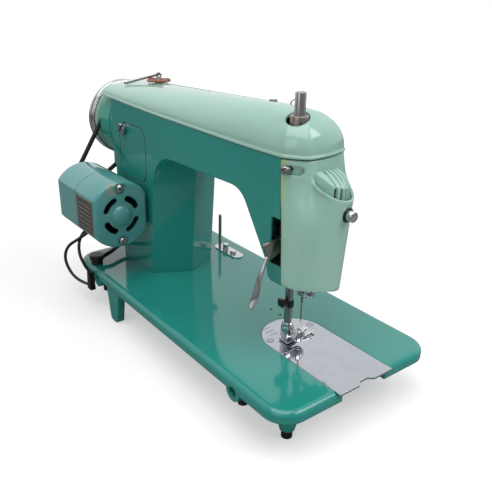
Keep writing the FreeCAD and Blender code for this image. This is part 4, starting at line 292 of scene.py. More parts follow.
# sewing guide lines on the needle plate
guideLines = {
    "across": (-0.0996, -0.1055, -0.1114), "start": 0.002, "stop": 0.012, "half": 0.0003, "soft": 0.0004,
    "strength": 0.8,
}
faceTint = {"axis": "X", "from": -0.1395, "to": -0.131, "colour": (168, 196, 146)}
rearPanel = {
    "x": 0.099, "z": 0.1768, "halfX": 0.0283, "halfZ": 0.0291, "corner": 0.0133, "line": 0.00045,
    "behind": 0.032,
}
# box inside the lifter slot that the teal enamel darkens as painted shade
lifterSlotShade = {"X": (-0.14, -0.1222), "Y": (0.004, 0.0249), "Z": (0.1295, 0.1715), "soft": 0.0003}
motorSeam = {"axis": "X", "at": 0.110, "half": 0.0003}
motorChips = [((0.066, 0.075, 0.152), 0.009), ((0.066, 0.082, 0.146), 0.006)]
finishes = {
    "teal": enamel(
        "tealEnamel", (40, 142, 132), (34, 134, 125), (86, 168, 156), panel=rearPanel, paintedSlotShade=lifterSlotShade
    ),
    # the end ring's enamel is the arm's teal painted a little lighter, a lit copy of one paint
    "litRingTeal": enamel("litRingEnamel", (44, 146, 132), (38, 138, 126), (96, 176, 160)),
    "mint": enamel("mintEnamel", (152, 192, 178), (146, 187, 173), (168, 196, 172), 0.25),
    # the face cover's enamel is the top cover's mint painted lighter for its upright sides, a lit copy of
    # one paint; the yellowed band at its rear edge is its own colour
    "face": enamel("litFaceEnamel", (159, 202, 186), (153, 197, 182), (176, 206, 177), 0.25, faceTint),
    "motorBlue": enamel(
        "motorEnamel", (84, 152, 150), (76, 143, 142), (132, 178, 172), seam=motorSeam, chips=motorChips
    ),
    "paleBand": enamel("paleBandEnamel", (150, 198, 176), (142, 191, 170), (182, 212, 192)),
    "chrome": bright("chromePlate", (206, 207, 210), (176, 177, 180)),
    "darkChrome": bright("wornChrome", (172, 171, 172), (126, 125, 126), 0.16),
    "satin": bright("satinSteel", (158, 152, 145), (120, 114, 108), 0.3, grain=(1, 1, 6)),
    "plate": bright("platedSteel", (184, 189, 196), (170, 175, 184), 0.06, 0.06, (1, 30, 1), guideLines),
    "steel": bright("plainSteel", (160, 157, 150), (120, 116, 108), 0.24, 0.15),
    "iron": bright("castIron", (86, 84, 82), (60, 58, 56), 0.5, 0.15),
    "brass": bright("bushBrass", (196, 160, 96), (150, 118, 70), 0.25, 0.15),
    "black": darkPlastic("blackMoulding", (18, 18, 18), (48, 46, 43), 0.42),
    "blackSteel": darkPlastic("blackenedSteel", (14, 14, 14), (40, 37, 34), 0.3),
    "printBlack": darkPlastic("printedBlack", (74, 67, 61), (104, 96, 88), 0.5),
    "rubber": darkPlastic("blackRubber", (20, 20, 19), (52, 50, 46), 0.62),
    "vinyl": darkPlastic("leadVinyl", (26, 27, 28), (56, 56, 54), 0.4),
    "felt": feltCloth("brownFelt", (164, 100, 74), (112, 64, 46)),
    "glass": clearGlass("bulbGlass"),
}
print("finishes made:", len(finishes))

# nodes that show as they are
nodeFinish = {
    "teal": ["bed_casting", "arm_casting", "rear_cover"],
    "motorBlue": ["motor_rear_housing", "motor_bracket"],
    "chrome": [
        "clutch_knob", "raise_button", "drop_button", "take_up_lever", "tension_discs", "drop_feed_plate",
    ],
    "darkChrome": ["spool_pin", "bed_spool_pin", "needle_bar"],
    "satin": ["presser_bar", "thread_guides", "needle"],
    "plate": ["needle_plate", "slide_plate"],
    "steel": [
        "main_shaft", "feed_dog", "shuttle_hook", "shuttle_race", "bobbin_case", "bobbin", "tension_stud",
        "stitch_lever", "motor_pulley",
    ],
    "iron": ["motor_armature"],
    "brass": ["bar_bushes", "shaft_bushes", "lamp_socket"],
    "black": ["terminal_block", "lead_plug", "tension_knob"],
    "blackSteel": ["hinge_set_screws"],
    "rubber": ["rubber_feet", "drive_belt"],
    "glass": ["lamp_bulb"],
}
for finishName, members in nodeFinish.items():
    for member in members:
        slots = nodes[member].data.materials
        slots.clear()
        slots.append(finishes[finishName])
print("nodes finished:", sum(len(members) for members in nodeFinish.values()))

# leads: route points in millimetres, from their end at the motor or block
leadRoutes = {
    "outerMotorLead": {
        "node": "motor_leads",
        "points": [
            (149, 83, 41.1), (158, 95, 30), (180, 101, 15), (191, 102, -5), (180, 99, -22),
            (160, 94, -26), (143.25, 92, -22),
        ],
        "radius": 1.7,
        "length": 0.124,
    },
    "innerMotorLead": {
        "node": "motor_leads",
        "points": [(161, 79, 41.1), (165, 89, 33), (158, 97, 20), (148, 98, 6), (141, 92, -6.7)],
        "radius": 1.7,
        "length": 0.062,
    },
    "blockLead": {
        "node": "block_lead",
        "points": [
            (147, 73.7, 7), (149, 62, 9), (156, 52, 10), (162, 40, 11), (163, 28, 11), (152.3, 20, 11),
        ],
        "radius": 2.4,
        "length": 0.062,
    },
}


def makeLead(name, route):
    data = bpy.data.curves.new(name, "CURVE")
    data.dimensions = "3D"
    line = data.splines.new("NURBS")
    line.points.add(len(route["points"]) - 1)
    for point, where in zip(line.points, route["points"]):
        point.co = (*place(*where), 1)
    line.order_u = 3
    line.use_endpoint_u = True
    data.bevel_depth = route["radius"] / 1000
    data.bevel_resolution = 6
    data.use_fill_caps = True
    data.materials.append(finishes["vinyl"])
    lead = added(name, data)
    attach(lead, "frame")
    2 * route["radius"] / 1000
    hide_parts(route["node"])


for leadName, leadRoute in leadRoutes.items():
    makeLead(leadName, leadRoute)
print("leads laid:", len(leadRoutes))


# making: every piece is drawn in the bed's millimetres and goes into the frame when it is finished
def stood(bm, axis, at):
    # a shape drawn upright at the origin, turned to an axis and moved
    turn = Vector(alongZ).rotation_difference(Vector(axis)).to_matrix().to_4x4()
    bmesh.ops.transform(bm, matrix=Matrix.Translation(at) @ turn, verts=bm.verts)
    return bm


def lathe(profile, axis=alongZ, at=origin, steps=40):
    # profile points are a distance along the axis and a radius
    bm = bmesh.new()
    chain = [bm.verts.new((radius, 0, along)) for along, radius in profile]
    for first, second in zip(chain, chain[1:]):
        bm.edges.new((first, second))
    drawn = bm.verts[:] + bm.edges[:]
    bmesh.ops.spin(bm, geom=drawn, cent=origin, axis=alongZ, angle=tau, steps=steps, use_merge=True)
    bmesh.ops.remove_doubles(bm, verts=bm.verts, dist=0.0005)
    bmesh.ops.recalc_face_normals(bm, faces=bm.faces)
    return stood(bm, axis, at)


def drill(low, high, radius, axis, at):
    # a round bar that cuts a hole
    return lathe([(low, 0), (low, radius), (high, radius), (high, 0)], axis, at)


planeAxes = {"XY": (0, 1, 2), "XZ": (0, 2, 1), "YZ": (1, 2, 0)}


def prism(points, plane, low, high):
    # an outline on a plane, filled from low to high across it
    first, second, across = planeAxes[plane]
    bm = bmesh.new()
    corners = []
    for a, b in points:
        where = [0, 0, 0]
        where[first], where[second], where[across] = a, b, low
        corners.append(bm.verts.new(where))
    face = bm.faces.new(corners)
    made = bmesh.ops.extrude_face_region(bm, geom=[face], use_keep_orig=True)
    step = [0, 0, 0]
    step[across] = high - low
    bmesh.ops.translate(bm, verts=[v for v in made["geom"] if isinstance(v, bmesh.types.BMVert)], vec=step)
    bmesh.ops.recalc_face_normals(bm, faces=bm.faces)
    return bm


def slab(points, plane, low, high, width):
    # a prism with its sharp edges rounded
    bm = prism(points, plane, low, high)
    sharp = [e for e in bm.edges if len(e.link_faces) == 2 and e.calc_face_angle(0) > radians(30)]
    bmesh.ops.bevel(
        bm, geom=sharp, offset=width, segments=2, profile=0.5, affect="EDGES", clamp_overlap=True
    )
    return bm


def box(low, high):
    # a rectangle's outline from its lowest and highest corners
    return [low, (high[0], low[1]), high, (low[0], high[1])]


def bridged(rings):
    # a closed skin over rings of points, each ring with as many points as the next
    bm = bmesh.new()
    loops = []
    for ring in rings:
        corners = [bm.verts.new(point) for point in ring]
        loops.append([bm.edges.new((corners[i - 1], corners[i])) for i in range(len(corners))])
    for first, second in zip(loops, loops[1:]):
        bmesh.ops.bridge_loops(bm, edges=first + second)
    bmesh.ops.holes_fill(bm, edges=loops[0] + loops[-1])
    bmesh.ops.recalc_face_normals(bm, faces=bm.faces)
    return bm


def merged(*shapes):
    # several shapes in one mesh
    whole = shapes[0]
    for shape in shapes[1:]:
        data = meshOf("part", shape)
        whole.from_mesh(data)
        bpy.data.meshes.remove(data)
    return whole


def settled(bm, modifiers=(), cutters=()):
    # the shape with its modifiers applied and the cutters taken out of it
    body, *tools = [added("part", meshOf("part", shape)) for shape in (bm, *cutters)]
    cuts = [("BOOLEAN", {"operation": "DIFFERENCE", "solver": "EXACT", "object": tool}) for tool in tools]
    for kind, settings in [*modifiers, *cuts]:
        modifier = body.modifiers.new(kind, kind)
        for key, setting in settings.items():
            setattr(modifier, key, setting)
    whole = bpy.data.meshes.new_from_object(body.evaluated_get(bpy.context.evaluated_depsgraph_get()))
    result = bmesh.new()
    result.from_mesh(whole)
    bpy.data.meshes.remove(whole)
    for item in (body, *tools):
        data = item.data
        bpy.data.objects.remove(item)
        bpy.data.meshes.remove(data)
    return result


def makePiece(name, bm, body, finish, node=None, sharp=35):
    bmesh.ops.transform(bm, matrix=toFrame, verts=bm.verts)
    data = meshOf(name, bm)
    data.shade_smooth()
    data.set_sharp_from_angle(angle=radians(sharp))
    data.materials.append(finishes[finish])
    piece = added(name, data)
    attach(piece, body)
    if node:
        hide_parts(node)


def wireRing(radius, thick, axis, at, steps):
    turns = [tau * i / 10 for i in range(11)]
    return lathe([(thick * sin(a), radius + thick * cos(a)) for a in turns], axis, at, steps)


def creased(bm, line, share):
    # the edges along a line of points are held sharp
    layer = bm.edges.layers.float.get("crease_edge") or bm.edges.layers.float.new("crease_edge")
    for edge in bm.edges:
        if all(min((v.co - point).length for point in line) < 0.05 for v in edge.verts):
            edge[layer] = share


def skinGrid(columns):
    # a skin over upright columns of points, facing outwards
    bm = bmesh.new()
    across, up = len(columns) - 1, len(columns[0]) - 1
    grid = bmesh.ops.create_grid(bm, x_segments=across, y_segments=up, size=1)
    for vert in grid["verts"]:
        vert.co = columns[round((vert.co.x + 1) / 2 * across)][round((vert.co.y + 1) / 2 * up)]
    bmesh.ops.recalc_face_normals(bm, faces=bm.faces)
    nose = min(bm.faces, key=lambda face: face.calc_center_median().x)
    if nose.normal.x > 0:
        bmesh.ops.reverse_faces(bm, faces=bm.faces)
    return bm


def shellOf(wall, **smoothing):
    # a smooth skin with a wall on its inside
    return [
        ("SUBSURF", {"levels": 2, "render_levels": 2, **smoothing}),
        ("SOLIDIFY", {"thickness": wall, "offset": -1, "use_rim": True}),
    ]


def slit(width, depth, length, turn, axis=alongZ, at=origin):
    # a screwdriver slot's cutter, half of it above the head
    bm = bmesh.new()
    bmesh.ops.create_cube(bm, size=1)
    bmesh.ops.scale(bm, vec=(length, width, 2 * depth), verts=bm.verts)
    bmesh.ops.rotate(bm, cent=origin, matrix=Matrix.Rotation(turn, 3, "Z"), verts=bm.verts)
    return stood(bm, axis, at)


def between(pairs, x):
    # the value at x on a line through pairs that run from high to low
    for (start, first), (end, last) in zip(pairs, pairs[1:]):
        if x >= end:
            return first + (last - first) * (start - x) / (start - end)
    return pairs[-1][1]


def arcSteps(start, end, radius, steps):
    # points along an arc that turns left from start to end
    first, last = Vector(start), Vector(end)
    chord = last - first
    left = Vector((-chord.y, chord.x)).normalized()
    centre = (first + last) / 2 + left * sqrt(radius ** 2 - chord.length_squared / 4)
    sweep = 2 * asin(chord.length / (2 * radius))
    spoke = first - centre
    return [centre + Matrix.Rotation(sweep * i / steps, 2) @ spoke for i in range(steps + 1)]


def polar(centre, reach, turn):
    return centre[0] + reach * cos(turn), centre[1] + reach * sin(turn)


def stepsTo(start, end, count):
    return [start.lerp(end, i / count) for i in range(1, count + 1)]


def raised(line):
    return [Vector((spot.x, spot.y, z)) for spot, z in line]


# top cover: columns from its bead up to the crown line, fanned round the nose
topCover = {
    "edge": [(188, 179), (60, 175.5), (-60, 172.6), (-130, 172.6)],
    "crown": [(188, 193), (60, 199.5), (-60, 205.3), (-130, 205.3)],
    "rear": [(188, 41), (79, 41), (-113, 33)],
    "front": [(188, -37), (79, -37), (-113, -31)],
    "along": [188, 187, 170, 140, 110, 79, 50, 20, -10, -40, -60, -80, -94, -100],
    "fan": -94, "joint": -105.5, "corner": (-124, 19.5), "cornerRadius": 42, "cornerSteps": 5,
    "frontCorner": (-117.5, -25), "frontSteps": 3, "noseRadius": 80, "noseSteps": 9, "creaseEnd": -104,
    "crease": 0.9, "lip": 4,
    # out and up from the edge
    "bead": [(-0.6, 0.1), (0.4, 0.3), (1.1, 0.9), (1.3, 1.7), (1, 2.5), (0.25, 3), (0, 3.4)],
    # degrees round the cover's side
    "rises": [0, 7, 15, 24, 33, 43, 53, 63, 73, 82, 90],
    "wall": 2.2,
    # pressure pin's collar and two oil holes: place and radius
    "holes": [(-102.2, 13.8, 9.4), (52, 0, 1.3), (40, 0, 1.3)],
    "holeReach": (165, 215),
}


def sideSpot(side, x):
    return Vector((x, between(topCover[side], x)))


def coverColumn(spot):
    c = topCover
    edge, crown = between(c["edge"], spot.x), between(c["crown"], spot.x)
    top = Vector((max(spot.x, c["fan"]), 0))
    outward = (spot - top).normalized()
    line = [(spot + outward * out, edge + lift) for out, lift in c["bead"]]
    foot = edge + c["lip"]
    for degrees in c["rises"]:
        turn = radians(degrees)
        line.append((spot.lerp(top, 1 - cos(turn)), foot + (crown - foot) * sin(turn)))
    return raised(line)


def makeTopCover():
    c = topCover
    rear, front = ([sideSpot(side, x) for x in c["along"]] for side in ("rear", "front"))
    corner = arcSteps(sideSpot("rear", c["joint"]), c["corner"], c["cornerRadius"], c["cornerSteps"])
    nose = arcSteps(c["corner"], c["frontCorner"], c["noseRadius"], c["noseSteps"])
    turn = stepsTo(nose[-1], sideSpot("front", c["joint"]), c["frontSteps"])
    columns = [coverColumn(spot) for spot in rear + corner + nose[1:] + turn + front[::-1]]
    bm = skinGrid(columns)
    ridge = columns[len(rear) + c["cornerSteps"]]
    creased(bm, [point for point in ridge if point.x < c["creaseEnd"]], c["crease"])
    bmesh.ops.remove_doubles(bm, verts=bm.verts, dist=0.001)
    skin = shellOf(c["wall"], boundary_smooth="PRESERVE_CORNERS")
    holes = [drill(*c["holeReach"], radius, alongZ, (x, y, 0)) for x, y, radius in c["holes"]]
    makePiece("topCover", settled(bm, skin, holes), "frame", "mint", "top_cover", 50)


makeTopCover()

# end ring: a bell that closes the arm and hides the belt groove
shaftLine = (0, 3, 148)
endRing = [
    (178.3, 8.6), (178.3, 37.6), (168.3, 37.6), (168.3, 38), (168.9, 38.3), (173, 38.5), (173.4, 38.3),
    (173.7, 37.7), (174.1, 37.7), (174.4, 38.5), (174.9, 38.8), (180, 39.2), (186, 39.9), (190.4, 40.8),
    (191.6, 40.9), (192.2, 40.3), (192, 39.4), (187.6, 37.4), (187.6, 8.6), (178.3, 8.6),
]
bell = lathe(endRing, alongX, shaftLine, 72)
makePiece("endRing", bell, "frame", "litRingTeal", "wheel_end_plate")

# hand wheel: belt groove, a flank that opens out to the rim, and a rim of two bright beads
handWheel = {
    "body": [
        (189.5, 5.6), (189.5, 34.4), (190.1, 35), (193.6, 35), (194.4, 34.4), (196.5, 28.7),
        (201.5, 28.7), (203.2, 34.6), (203.6, 36.4), (204.4, 39.4), (205.4, 40.7), (206.4, 41), (216, 41),
        (216, 34.8), (214.6, 30.2), (214.2, 29.4), (214, 18.6), (214.6, 17.6), (220, 13), (220, 5.6),
        (189.5, 5.6),
    ],
    "rim": [
        (205.6, 41), (205.5, 41.7), (205.9, 42.5), (206.8, 42.9), (209, 43.2), (211.2, 42.9), (212, 42.3),
        (212.5, 42), (213, 42.3), (213.8, 42.9), (215.6, 43.3), (217.6, 43.2), (219, 42.6), (219.8, 41.5),
        (220, 40.2), (219.8, 39.2), (219.2, 38.6), (217.8, 38.5), (216, 39), (216, 41), (205.6, 41),
    ],
}
wheel = lathe(handWheel["body"], alongX, shaftLine, 72)
makePiece("handWheel", wheel, "wheel", "paleBand", "hand_wheel")
rim = lathe(handWheel["rim"], alongX, shaftLine, 96)
makePiece("wheelRim", rim, "wheel", "chrome", "wheel_rim", 50)
print("top cover, end ring and hand wheel made")

# face cover: its outlines from the rear joint round the nose to the front joint, at three heights
lampSwitchLine = (-6.5, 129.5)
faceCover = {
    "topZ": 172.1,
    "jaw": [(34, 66), (18, 65.6), (5, 63.4), (-10, 58.8), (-18, 55.4), (-24, 53.6), (-34, 58)],
    "low": {"joint": -113.3, "rear": (-127, 30), "front": (-122, -24.5), "side": 40, "nose": 30.5},
    "lip": {"joint": -108.4, "rear": (-129.5, 28), "front": (-122, -29), "side": 40, "nose": 31},
    "top": {"joint": -106.3, "rear": (-124, 19.5), "front": (-117.5, -25), "side": 42, "nose": 80},
    "middle": Vector((-112, 0)),
    "headRear": 33, "headFront": -31, "sideSteps": 6, "noseSteps": 16, "frontSteps": 4,
    # how far the lip stands out from the wall, its height, and how far the pocket behind it is open,
    # from the rear corner round the nose
    "lipOut": [0.15, 0.25, 0.45, 0.74, 0.9, 0.97, 1, 1, 1, 1, 1, 1, 1, 0.95, 0.8, 0.55, 0.3],
    "lipHigh": [
        155.5, 155, 153.8, 151.6, 148.8, 146.2, 144.2, 142.6, 141.3, 140.4, 139.8, 139.6, 140.2, 142.5,
        146.5, 151, 155,
    ],
    "pocket": [0, 0, 0.35, 1, 1, 1, 1, 1, 1, 1, 1, 1, 1, 0.8, 0.3, 0, 0],
    "pocketWall": 0.07,
    # inwards and up at the bottom edge
    "hem": [(1.7, 0.7), (0.6, 0), (0.05, 1)],
    "belowLip": (0.05, 0.2, 0.36, 0.52, 0.68, 0.82, 0.93, 0.985), "bendFrom": 0.62,
    # share of the way into the pocket and drop, or share of the way up a plain side
    "overLip": [
        (0, 0, 0.02), (0.03, 0.5, 0.05), (0.1, 0.5, 0.1), (0.14, -0.8, 0.14), (0.2, -3, 0.2),
        (0.9, -2.6, 0.3), (1, -1, 0.4),
    ],
    "aboveLip": (0.55, 0.75, 0.93),
    "topEdge": [(0, -0.4), (0.8, 0)],
    "creases": [(60, 0.8), (150, 0.9)],
    "wall": 2.2,
    "slot": {"at": (-115.5, 164), "half": 3, "radius": 3.6, "reach": (17, 41)},
    "slotBack": {"from": (-104.7, 30.9), "to": (-124, 16.2), "thick": (0.5, -0.6), "reach": (158.5, 169.5)},
    "switchHole": {"from": -152.5, "deep": 16, "radius": 4.9},
}


def faceOutline(level):
    c, part = faceCover, faceCover[level]
    side = arcSteps((part["joint"], c["headRear"]), part["rear"], part["side"], c["sideSteps"])
    nose = arcSteps(part["rear"], part["front"], part["nose"], c["noseSteps"])
    return side + nose[1:] + stepsTo(nose[-1], Vector((part["joint"], c["headFront"])), c["frontSteps"])


def faceColumn(low, lip, top, out, high, pocket):
    # one upright line of the cover's skin, from its bottom edge to its top edge
    c = faceCover
    foot = between(c["jaw"], low.y)
    inward = (c["middle"] - low).normalized()
    line = [(low + inward * into, foot + lift) for into, lift in c["hem"]]
    edge = top.lerp(lip, out)
    for share in c["belowLip"]:
        bend = max(0, (share - c["bendFrom"]) / (1 - c["bendFrom"]))
        bend = bend * bend * (3 - 2 * bend)
        line.append((low.lerp(lip, share) + (edge - lip) * bend, foot + share * (high - foot)))
    wall = top.lerp(lip, c["pocketWall"])
    rise = c["topZ"] - high
    for share, drop, plainRise in c["overLip"]:
        # a pocket column goes over the lip and down; a plain one goes on up the side
        spot = edge.lerp(top, plainRise).lerp(edge.lerp(wall, share), pocket)
        line.append((spot, high + (1 - pocket) * plainRise * rise + pocket * drop))
    for share in c["aboveLip"]:
        spot = edge.lerp(top, share).lerp(wall.lerp(top, share), pocket)
        line.append((spot, high + share * rise))
    inward = (c["middle"] - top).normalized()
    line += [(top + inward * into, c["topZ"] + lift) for into, lift in c["topEdge"]]
    return raised(line)


def slotOutline():
    slot = faceCover["slot"]
    x, z = slot["at"]
    points = []
    for side in (1, -1):
        turns = [pi * (side / 2 - i / 10) for i in range(11)]
        points += [polar((x + slot["half"] * side, z), slot["radius"], turn) for turn in turns]
    return points


def slotBack():
    # the plate that shows behind the slot
    back = faceCover["slotBack"]
    outer = arcSteps(back["from"], back["to"], faceCover["top"]["side"], 10)
    inner = [spot + Vector(back["thick"]) for spot in outer]
    return prism(outer + inner[::-1], "XY", *back["reach"])


def makeFaceCover():
    c = faceCover
    outlines = [faceOutline(level) for level in ("low", "lip", "top")]
    # the first and last values go on along the plain sides
    courses = []
    for values in (c["lipOut"], c["lipHigh"], c["pocket"]):
        courses.append(values[:1] * c["sideSteps"] + values + values[-1:] * c["frontSteps"])
    columns = [faceColumn(*given) for given in zip(*outlines, *courses)]
    bm = skinGrid(columns)
    for height, share in c["creases"]:
        creased(bm, [point for point in columns[c["sideSteps"]] if point.z > height], share)
    slot = prism(slotOutline(), "XZ", *c["slot"]["reach"])
    hole = c["switchHole"]
    hole = drill(0, hole["deep"], hole["radius"], alongX, (hole["from"], *lampSwitchLine))
    shell = merged(settled(bm, shellOf(c["wall"]), [slot, hole]), slotBack())
    makePiece("faceCover", shell, "frame", "face", "face_cover", 50)


makeFaceCover()

# louvres: ribs that fan and slope from the brow to the lip, grooves with black blocks of painted shade in
# the slots between their feet
louvres = {
    # middle of each groove where it leaves the wall
    "grooves": [5.6, 1.3, -3, -7.3, -11.6],
    "rearWall": 15.4, "rearFront": 7.9, "frontEnd": -15.2, "half": 1, "fanFrom": 5.6,
    "fan": (0.86, 0.0415), "fanEnd": 1.1, "floor": 138, "deep": 1.9, "edge": 0.25, "overlap": 0.2,
    # thickness of a groove and its end behind the lip, and the two sides of the black block of painted
    # shade in the slot there
    "grooveThick": 0.6, "grooveEnd": 2.2, "shade": (1.6, 6),
    # curves of the wall and the lip in plan: place, middle and size
    "wallCurve": (-124.9, 8.3, 160), "lipCurve": (-109.7, 1, 31),
    # height at the wall, half of its flat part and its fall; height at the lip, its slope and its least
    "middle": -1, "brow": (163.1, 6, 26), "lip": (151.4, 0.34, -2.6),
    # out and up from the wall, then from the lip
    "top": [(4, 0.3), (-0.4, 0), (-5, -2), (-10, -5.4)],
    "foot": [(0.8, 0.5), (0, -0.6)],
}


def wallX(y):
    x, middle, size = louvres["wallCurve"]
    return x + (y - middle) ** 2 / size


def footX(y):
    x, middle, radius = louvres["lipCurve"]
    return x - sqrt(radius ** 2 - (y - middle) ** 2)


def spread(y):
    # how much further forward a rib's front end lies than its wall end
    away = max(0, louvres["fanFrom"] - y)
    return -louvres["fan"][0] * away + louvres["fan"][1] * away * away


def ribOutline(y, sink=0):
    g = louvres
    (brow, flat, fall), (lip, slope, least) = g["brow"], g["lip"]
    wall, foot, off = wallX(y), footX(y + spread(y)), y - g["middle"]
    top = brow - max(0, abs(off) - flat) ** 2 / fall - sink
    front = lip + max(least, off * slope) - sink
    line = [(wall + out, top + up) for out, up in g["top"]]
    line += [(foot + out, front + up) for out, up in g["foot"]]
    return line + [(foot, g["floor"]), (line[0][0], g["floor"])]


def fanned(bm, rearMost=None):
    # ribs spread towards the front; the rear side of the block slants in
    for vert in bm.verts:
        share = min(louvres["fanEnd"], max(0, (wallX(0) - vert.co.x) / (wallX(0) - footX(0))))
        if rearMost is not None and vert.co.y > rearMost - 0.6:
            vert.co.y += (louvres["rearFront"] - louvres["rearWall"]) * share
        else:
            vert.co.y += spread(vert.co.y) * share
    return bm


def makeLouvres():
    g, ribs, shades = louvres, [], []
    half, overlap = g["half"], g["overlap"]
    sides = [g["rearWall"]] + [y for middle in g["grooves"] for y in (middle + half, middle - half)]
    sides.append(g["frontEnd"])
    for i in range(0, len(sides), 2):
        high, low = sides[i], sides[i + 1]
        rib = slab(ribOutline((high + low) / 2 if i else low + 1), "XZ", low, high, g["edge"])
        ribs.append(fanned(rib, None if i else high))
    for middle in g["grooves"]:
        low, high = middle - half - overlap, middle + half + overlap
        *line, (foot, bottom) = ribOutline(middle, g["deep"])[:6]
        under = bottom - g["grooveThick"]
        line += [(foot + g["grooveEnd"], under), (line[0][0], under)]
        ribs.append(fanned(prism(line, "XZ", low, high)))
        near, far = (foot + out for out in g["shade"])
        shades.append(fanned(prism(box((near, g["floor"]), (far, bottom)), "XZ", low, high)))
    makePiece("louvreRibs", merged(*ribs), "frame", "face", sharp=30)
    # the black blocks stand in the slots as painted shade
    makePiece("louvreShade", merged(*shades), "frame", "black", sharp=30)


makeLouvres()
print("face cover made")

# pressure pin and its release ring over the presser bar: heights from the top of each, and radii
bars = {"x": -103, "presserY": 13, "needleY": -2.8}
presserLine = (bars["x"], bars["presserY"])
pressureRegulator = {
    "pinTop": 221,
    "pin": [
        (-43, 0), (-43, 4.45), (-1.2, 4.45), (-0.5, 4.1), (-0.15, 3.2), (-0.15, 2), (-0.5, 1.7),
        (-0.5, 0),
    ],
    "ringTop": 203,
    "ring": [
        (-16.7, 4.75), (-16.7, 7.8), (-4.6, 7.8), (-3.6, 7.45), (-1, 7.45), (-0.3, 7.1), (0, 6.3),
        (0, 4.75), (-16.7, 4.75),
    ],
    "dimple": {"at": (-109, 16.5, 196.5), "toward": (-0.86, 0.5, 0), "deep": 3, "radius": 1.5},
}


def makePressureRegulator():
    p, dimple = pressureRegulator, pressureRegulator["dimple"]
    pin = lathe(p["pin"], alongZ, (*presserLine, p["pinTop"]))
    makePiece("pressurePin", pin, "pressure_plunger", "darkChrome", "pressure_pin")
    ring = lathe(p["ring"], alongZ, (*presserLine, p["ringTop"]))
    cutter = drill(0, dimple["deep"], dimple["radius"], dimple["toward"], dimple["at"])
    ring = settled(ring, cutters=[cutter])
    makePiece("releaseRing", ring, "pressure_ring", "satin", "release_ring")


makePressureRegulator()

# lamp switch: a bright knob with a turned end in a black ring
lampSwitch = {
    "end": -151.5,
    "knob": [(0, 0), (0, 3.4), (0.35, 4.2), (1.1, 4.6), (6, 4.6), (6.4, 4.2), (13, 4.2), (13, 0)],
    "start": -145.6,
    "collar": [(0, 4.75), (0, 5.6), (0.5, 6.1), (4.4, 6.1), (4.4, 4.75), (0, 4.75)],
}
knob = lathe(lampSwitch["knob"], alongX, (lampSwitch["end"], *lampSwitchLine))
makePiece("lampSwitch", knob, "lamp_control", "chrome", "lamp_switch")
collar = lathe(lampSwitch["collar"], alongX, (lampSwitch["start"], *lampSwitchLine))
makePiece("lampSwitchCollar", collar, "frame", "black")

# presser lifter: a flat plate that leaves the head, and a handle that widens to a spoon
lifter = {
    "plate": [
        (19, 103.4), (22, 104.6), (30, 104), (34, 103.7), (40, 104), (44, 102.6), (45.1, 100.6),
        (44, 97.6), (42.1, 94.2), (41.3, 90.6), (42.6, 87.4), (40.6, 86), (36, 87.6), (29, 91.6),
        (22, 95), (18.4, 96.6), (17, 100),
    ],
    "near": -105.3, "far": -102.1, "edge": 0.5, "pivot": (0, 22, 100), "bore": (-120, -90, 2.6),
    # place across and up, half width and half thickness of the handle
    "handle": [
        (41, 91, 1.5, 1), (41.6, 88.2, 1.7, 1.5), (43.4, 83.6, 1.9, 1.6), (46.6, 76.8, 2.4, 1.6),
        (48.8, 69.4, 3.2, 1.4), (50.2, 62.6, 4.2, 1.2), (51.9, 56, 4.7, 1.05), (54.4, 50.2, 4.5, 0.95),
        (56.1, 47.2, 3.3, 0.8), (56.8, 46.2, 1.6, 0.45),
    ],
    "sides": 16,
}


def makeLifter():
    near, far, places = lifter["near"], lifter["far"], lifter["handle"]
    plate = slab(lifter["plate"], "YZ", near, far, lifter["edge"])
    plate = settled(plate, cutters=[drill(*lifter["bore"], alongX, lifter["pivot"])])
    rings = []
    for i, (y, z, half, thin) in enumerate(places):
        before, after = places[max(i - 1, 0)], places[min(i + 1, len(places) - 1)]
        run = Vector((0, after[0] - before[0], after[1] - before[1])).normalized()
        middle, out = Vector(((near + far) / 2, y, z)), Vector((0, -run.z, run.y))
        turns = [tau * k / lifter["sides"] for k in range(lifter["sides"])]
        rings.append([
            middle + Vector(alongX) * half * cos(turn) + out * thin * sin(turn) for turn in turns
        ])
    handle = settled(bridged(rings), [("SUBSURF", {"levels": 1, "render_levels": 1})])
    makePiece("lifterPlate", plate, "lifter", "steel", "presser_lifter")
    makePiece("lifterHandle", handle, "lifter", "chrome", sharp=60)


makeLifter()

# presser foot: shank with its thumb screw, hinged sole with two toes, all drawn round the bar's line
presserFoot = {
    "shank": [(-4.4, 5), (4.4, 5), (4.4, 15.4), (3.2, 17), (-3.2, 17), (-4.4, 15.4)],
    "shankHalf": 4.4, "shankEdge": 0.8,
    "collar": [
        (15.5, 0), (15.5, 4.9), (16, 5.2), (19.8, 5.2), (20.5, 4.6), (20.5, 3.55), (17, 3.55), (17, 0),
    ],
    "ankle": [(-4.4, 2.6), (4.4, 2.6), (4.4, 6), (-2.5, 7.6), (-9, 5.4), (-9, 2.6)],
    "ankleHalf": 3.2, "ankleEdge": 0.6,
    "bridge": ((-13, 0.7), (4.4, 2.8)),
    "bridgeHalf": 3, "bridgeEdge": 0.3,
    "toe": [
        (4.4, 0.7), (4.4, 2.8), (-16, 2.8), (-22.5, 3), (-26.4, 4.9), (-27, 4.5), (-23.4, 1.6),
        (-21, 0.7),
    ],
    "toes": [(-5.9, -1.75), (1.75, 5.9)],
    "toeEdge": 0.35,
    "thumb": [
        (0, 0), (0, 3.4), (0.4, 4.8), (1, 5.7), (1.6, 6.3), (6.2, 6.3), (7, 5.6), (7.4, 3), (12, 2.4),
        (12, 0),
    ],
    "thumbAt": (-117, 8.8, 9.2), "thumbSteps": 48, "milledFrom": 6.1, "milledTo": 0.93,
    "slit": (1.3, 1, 14, 0),
}


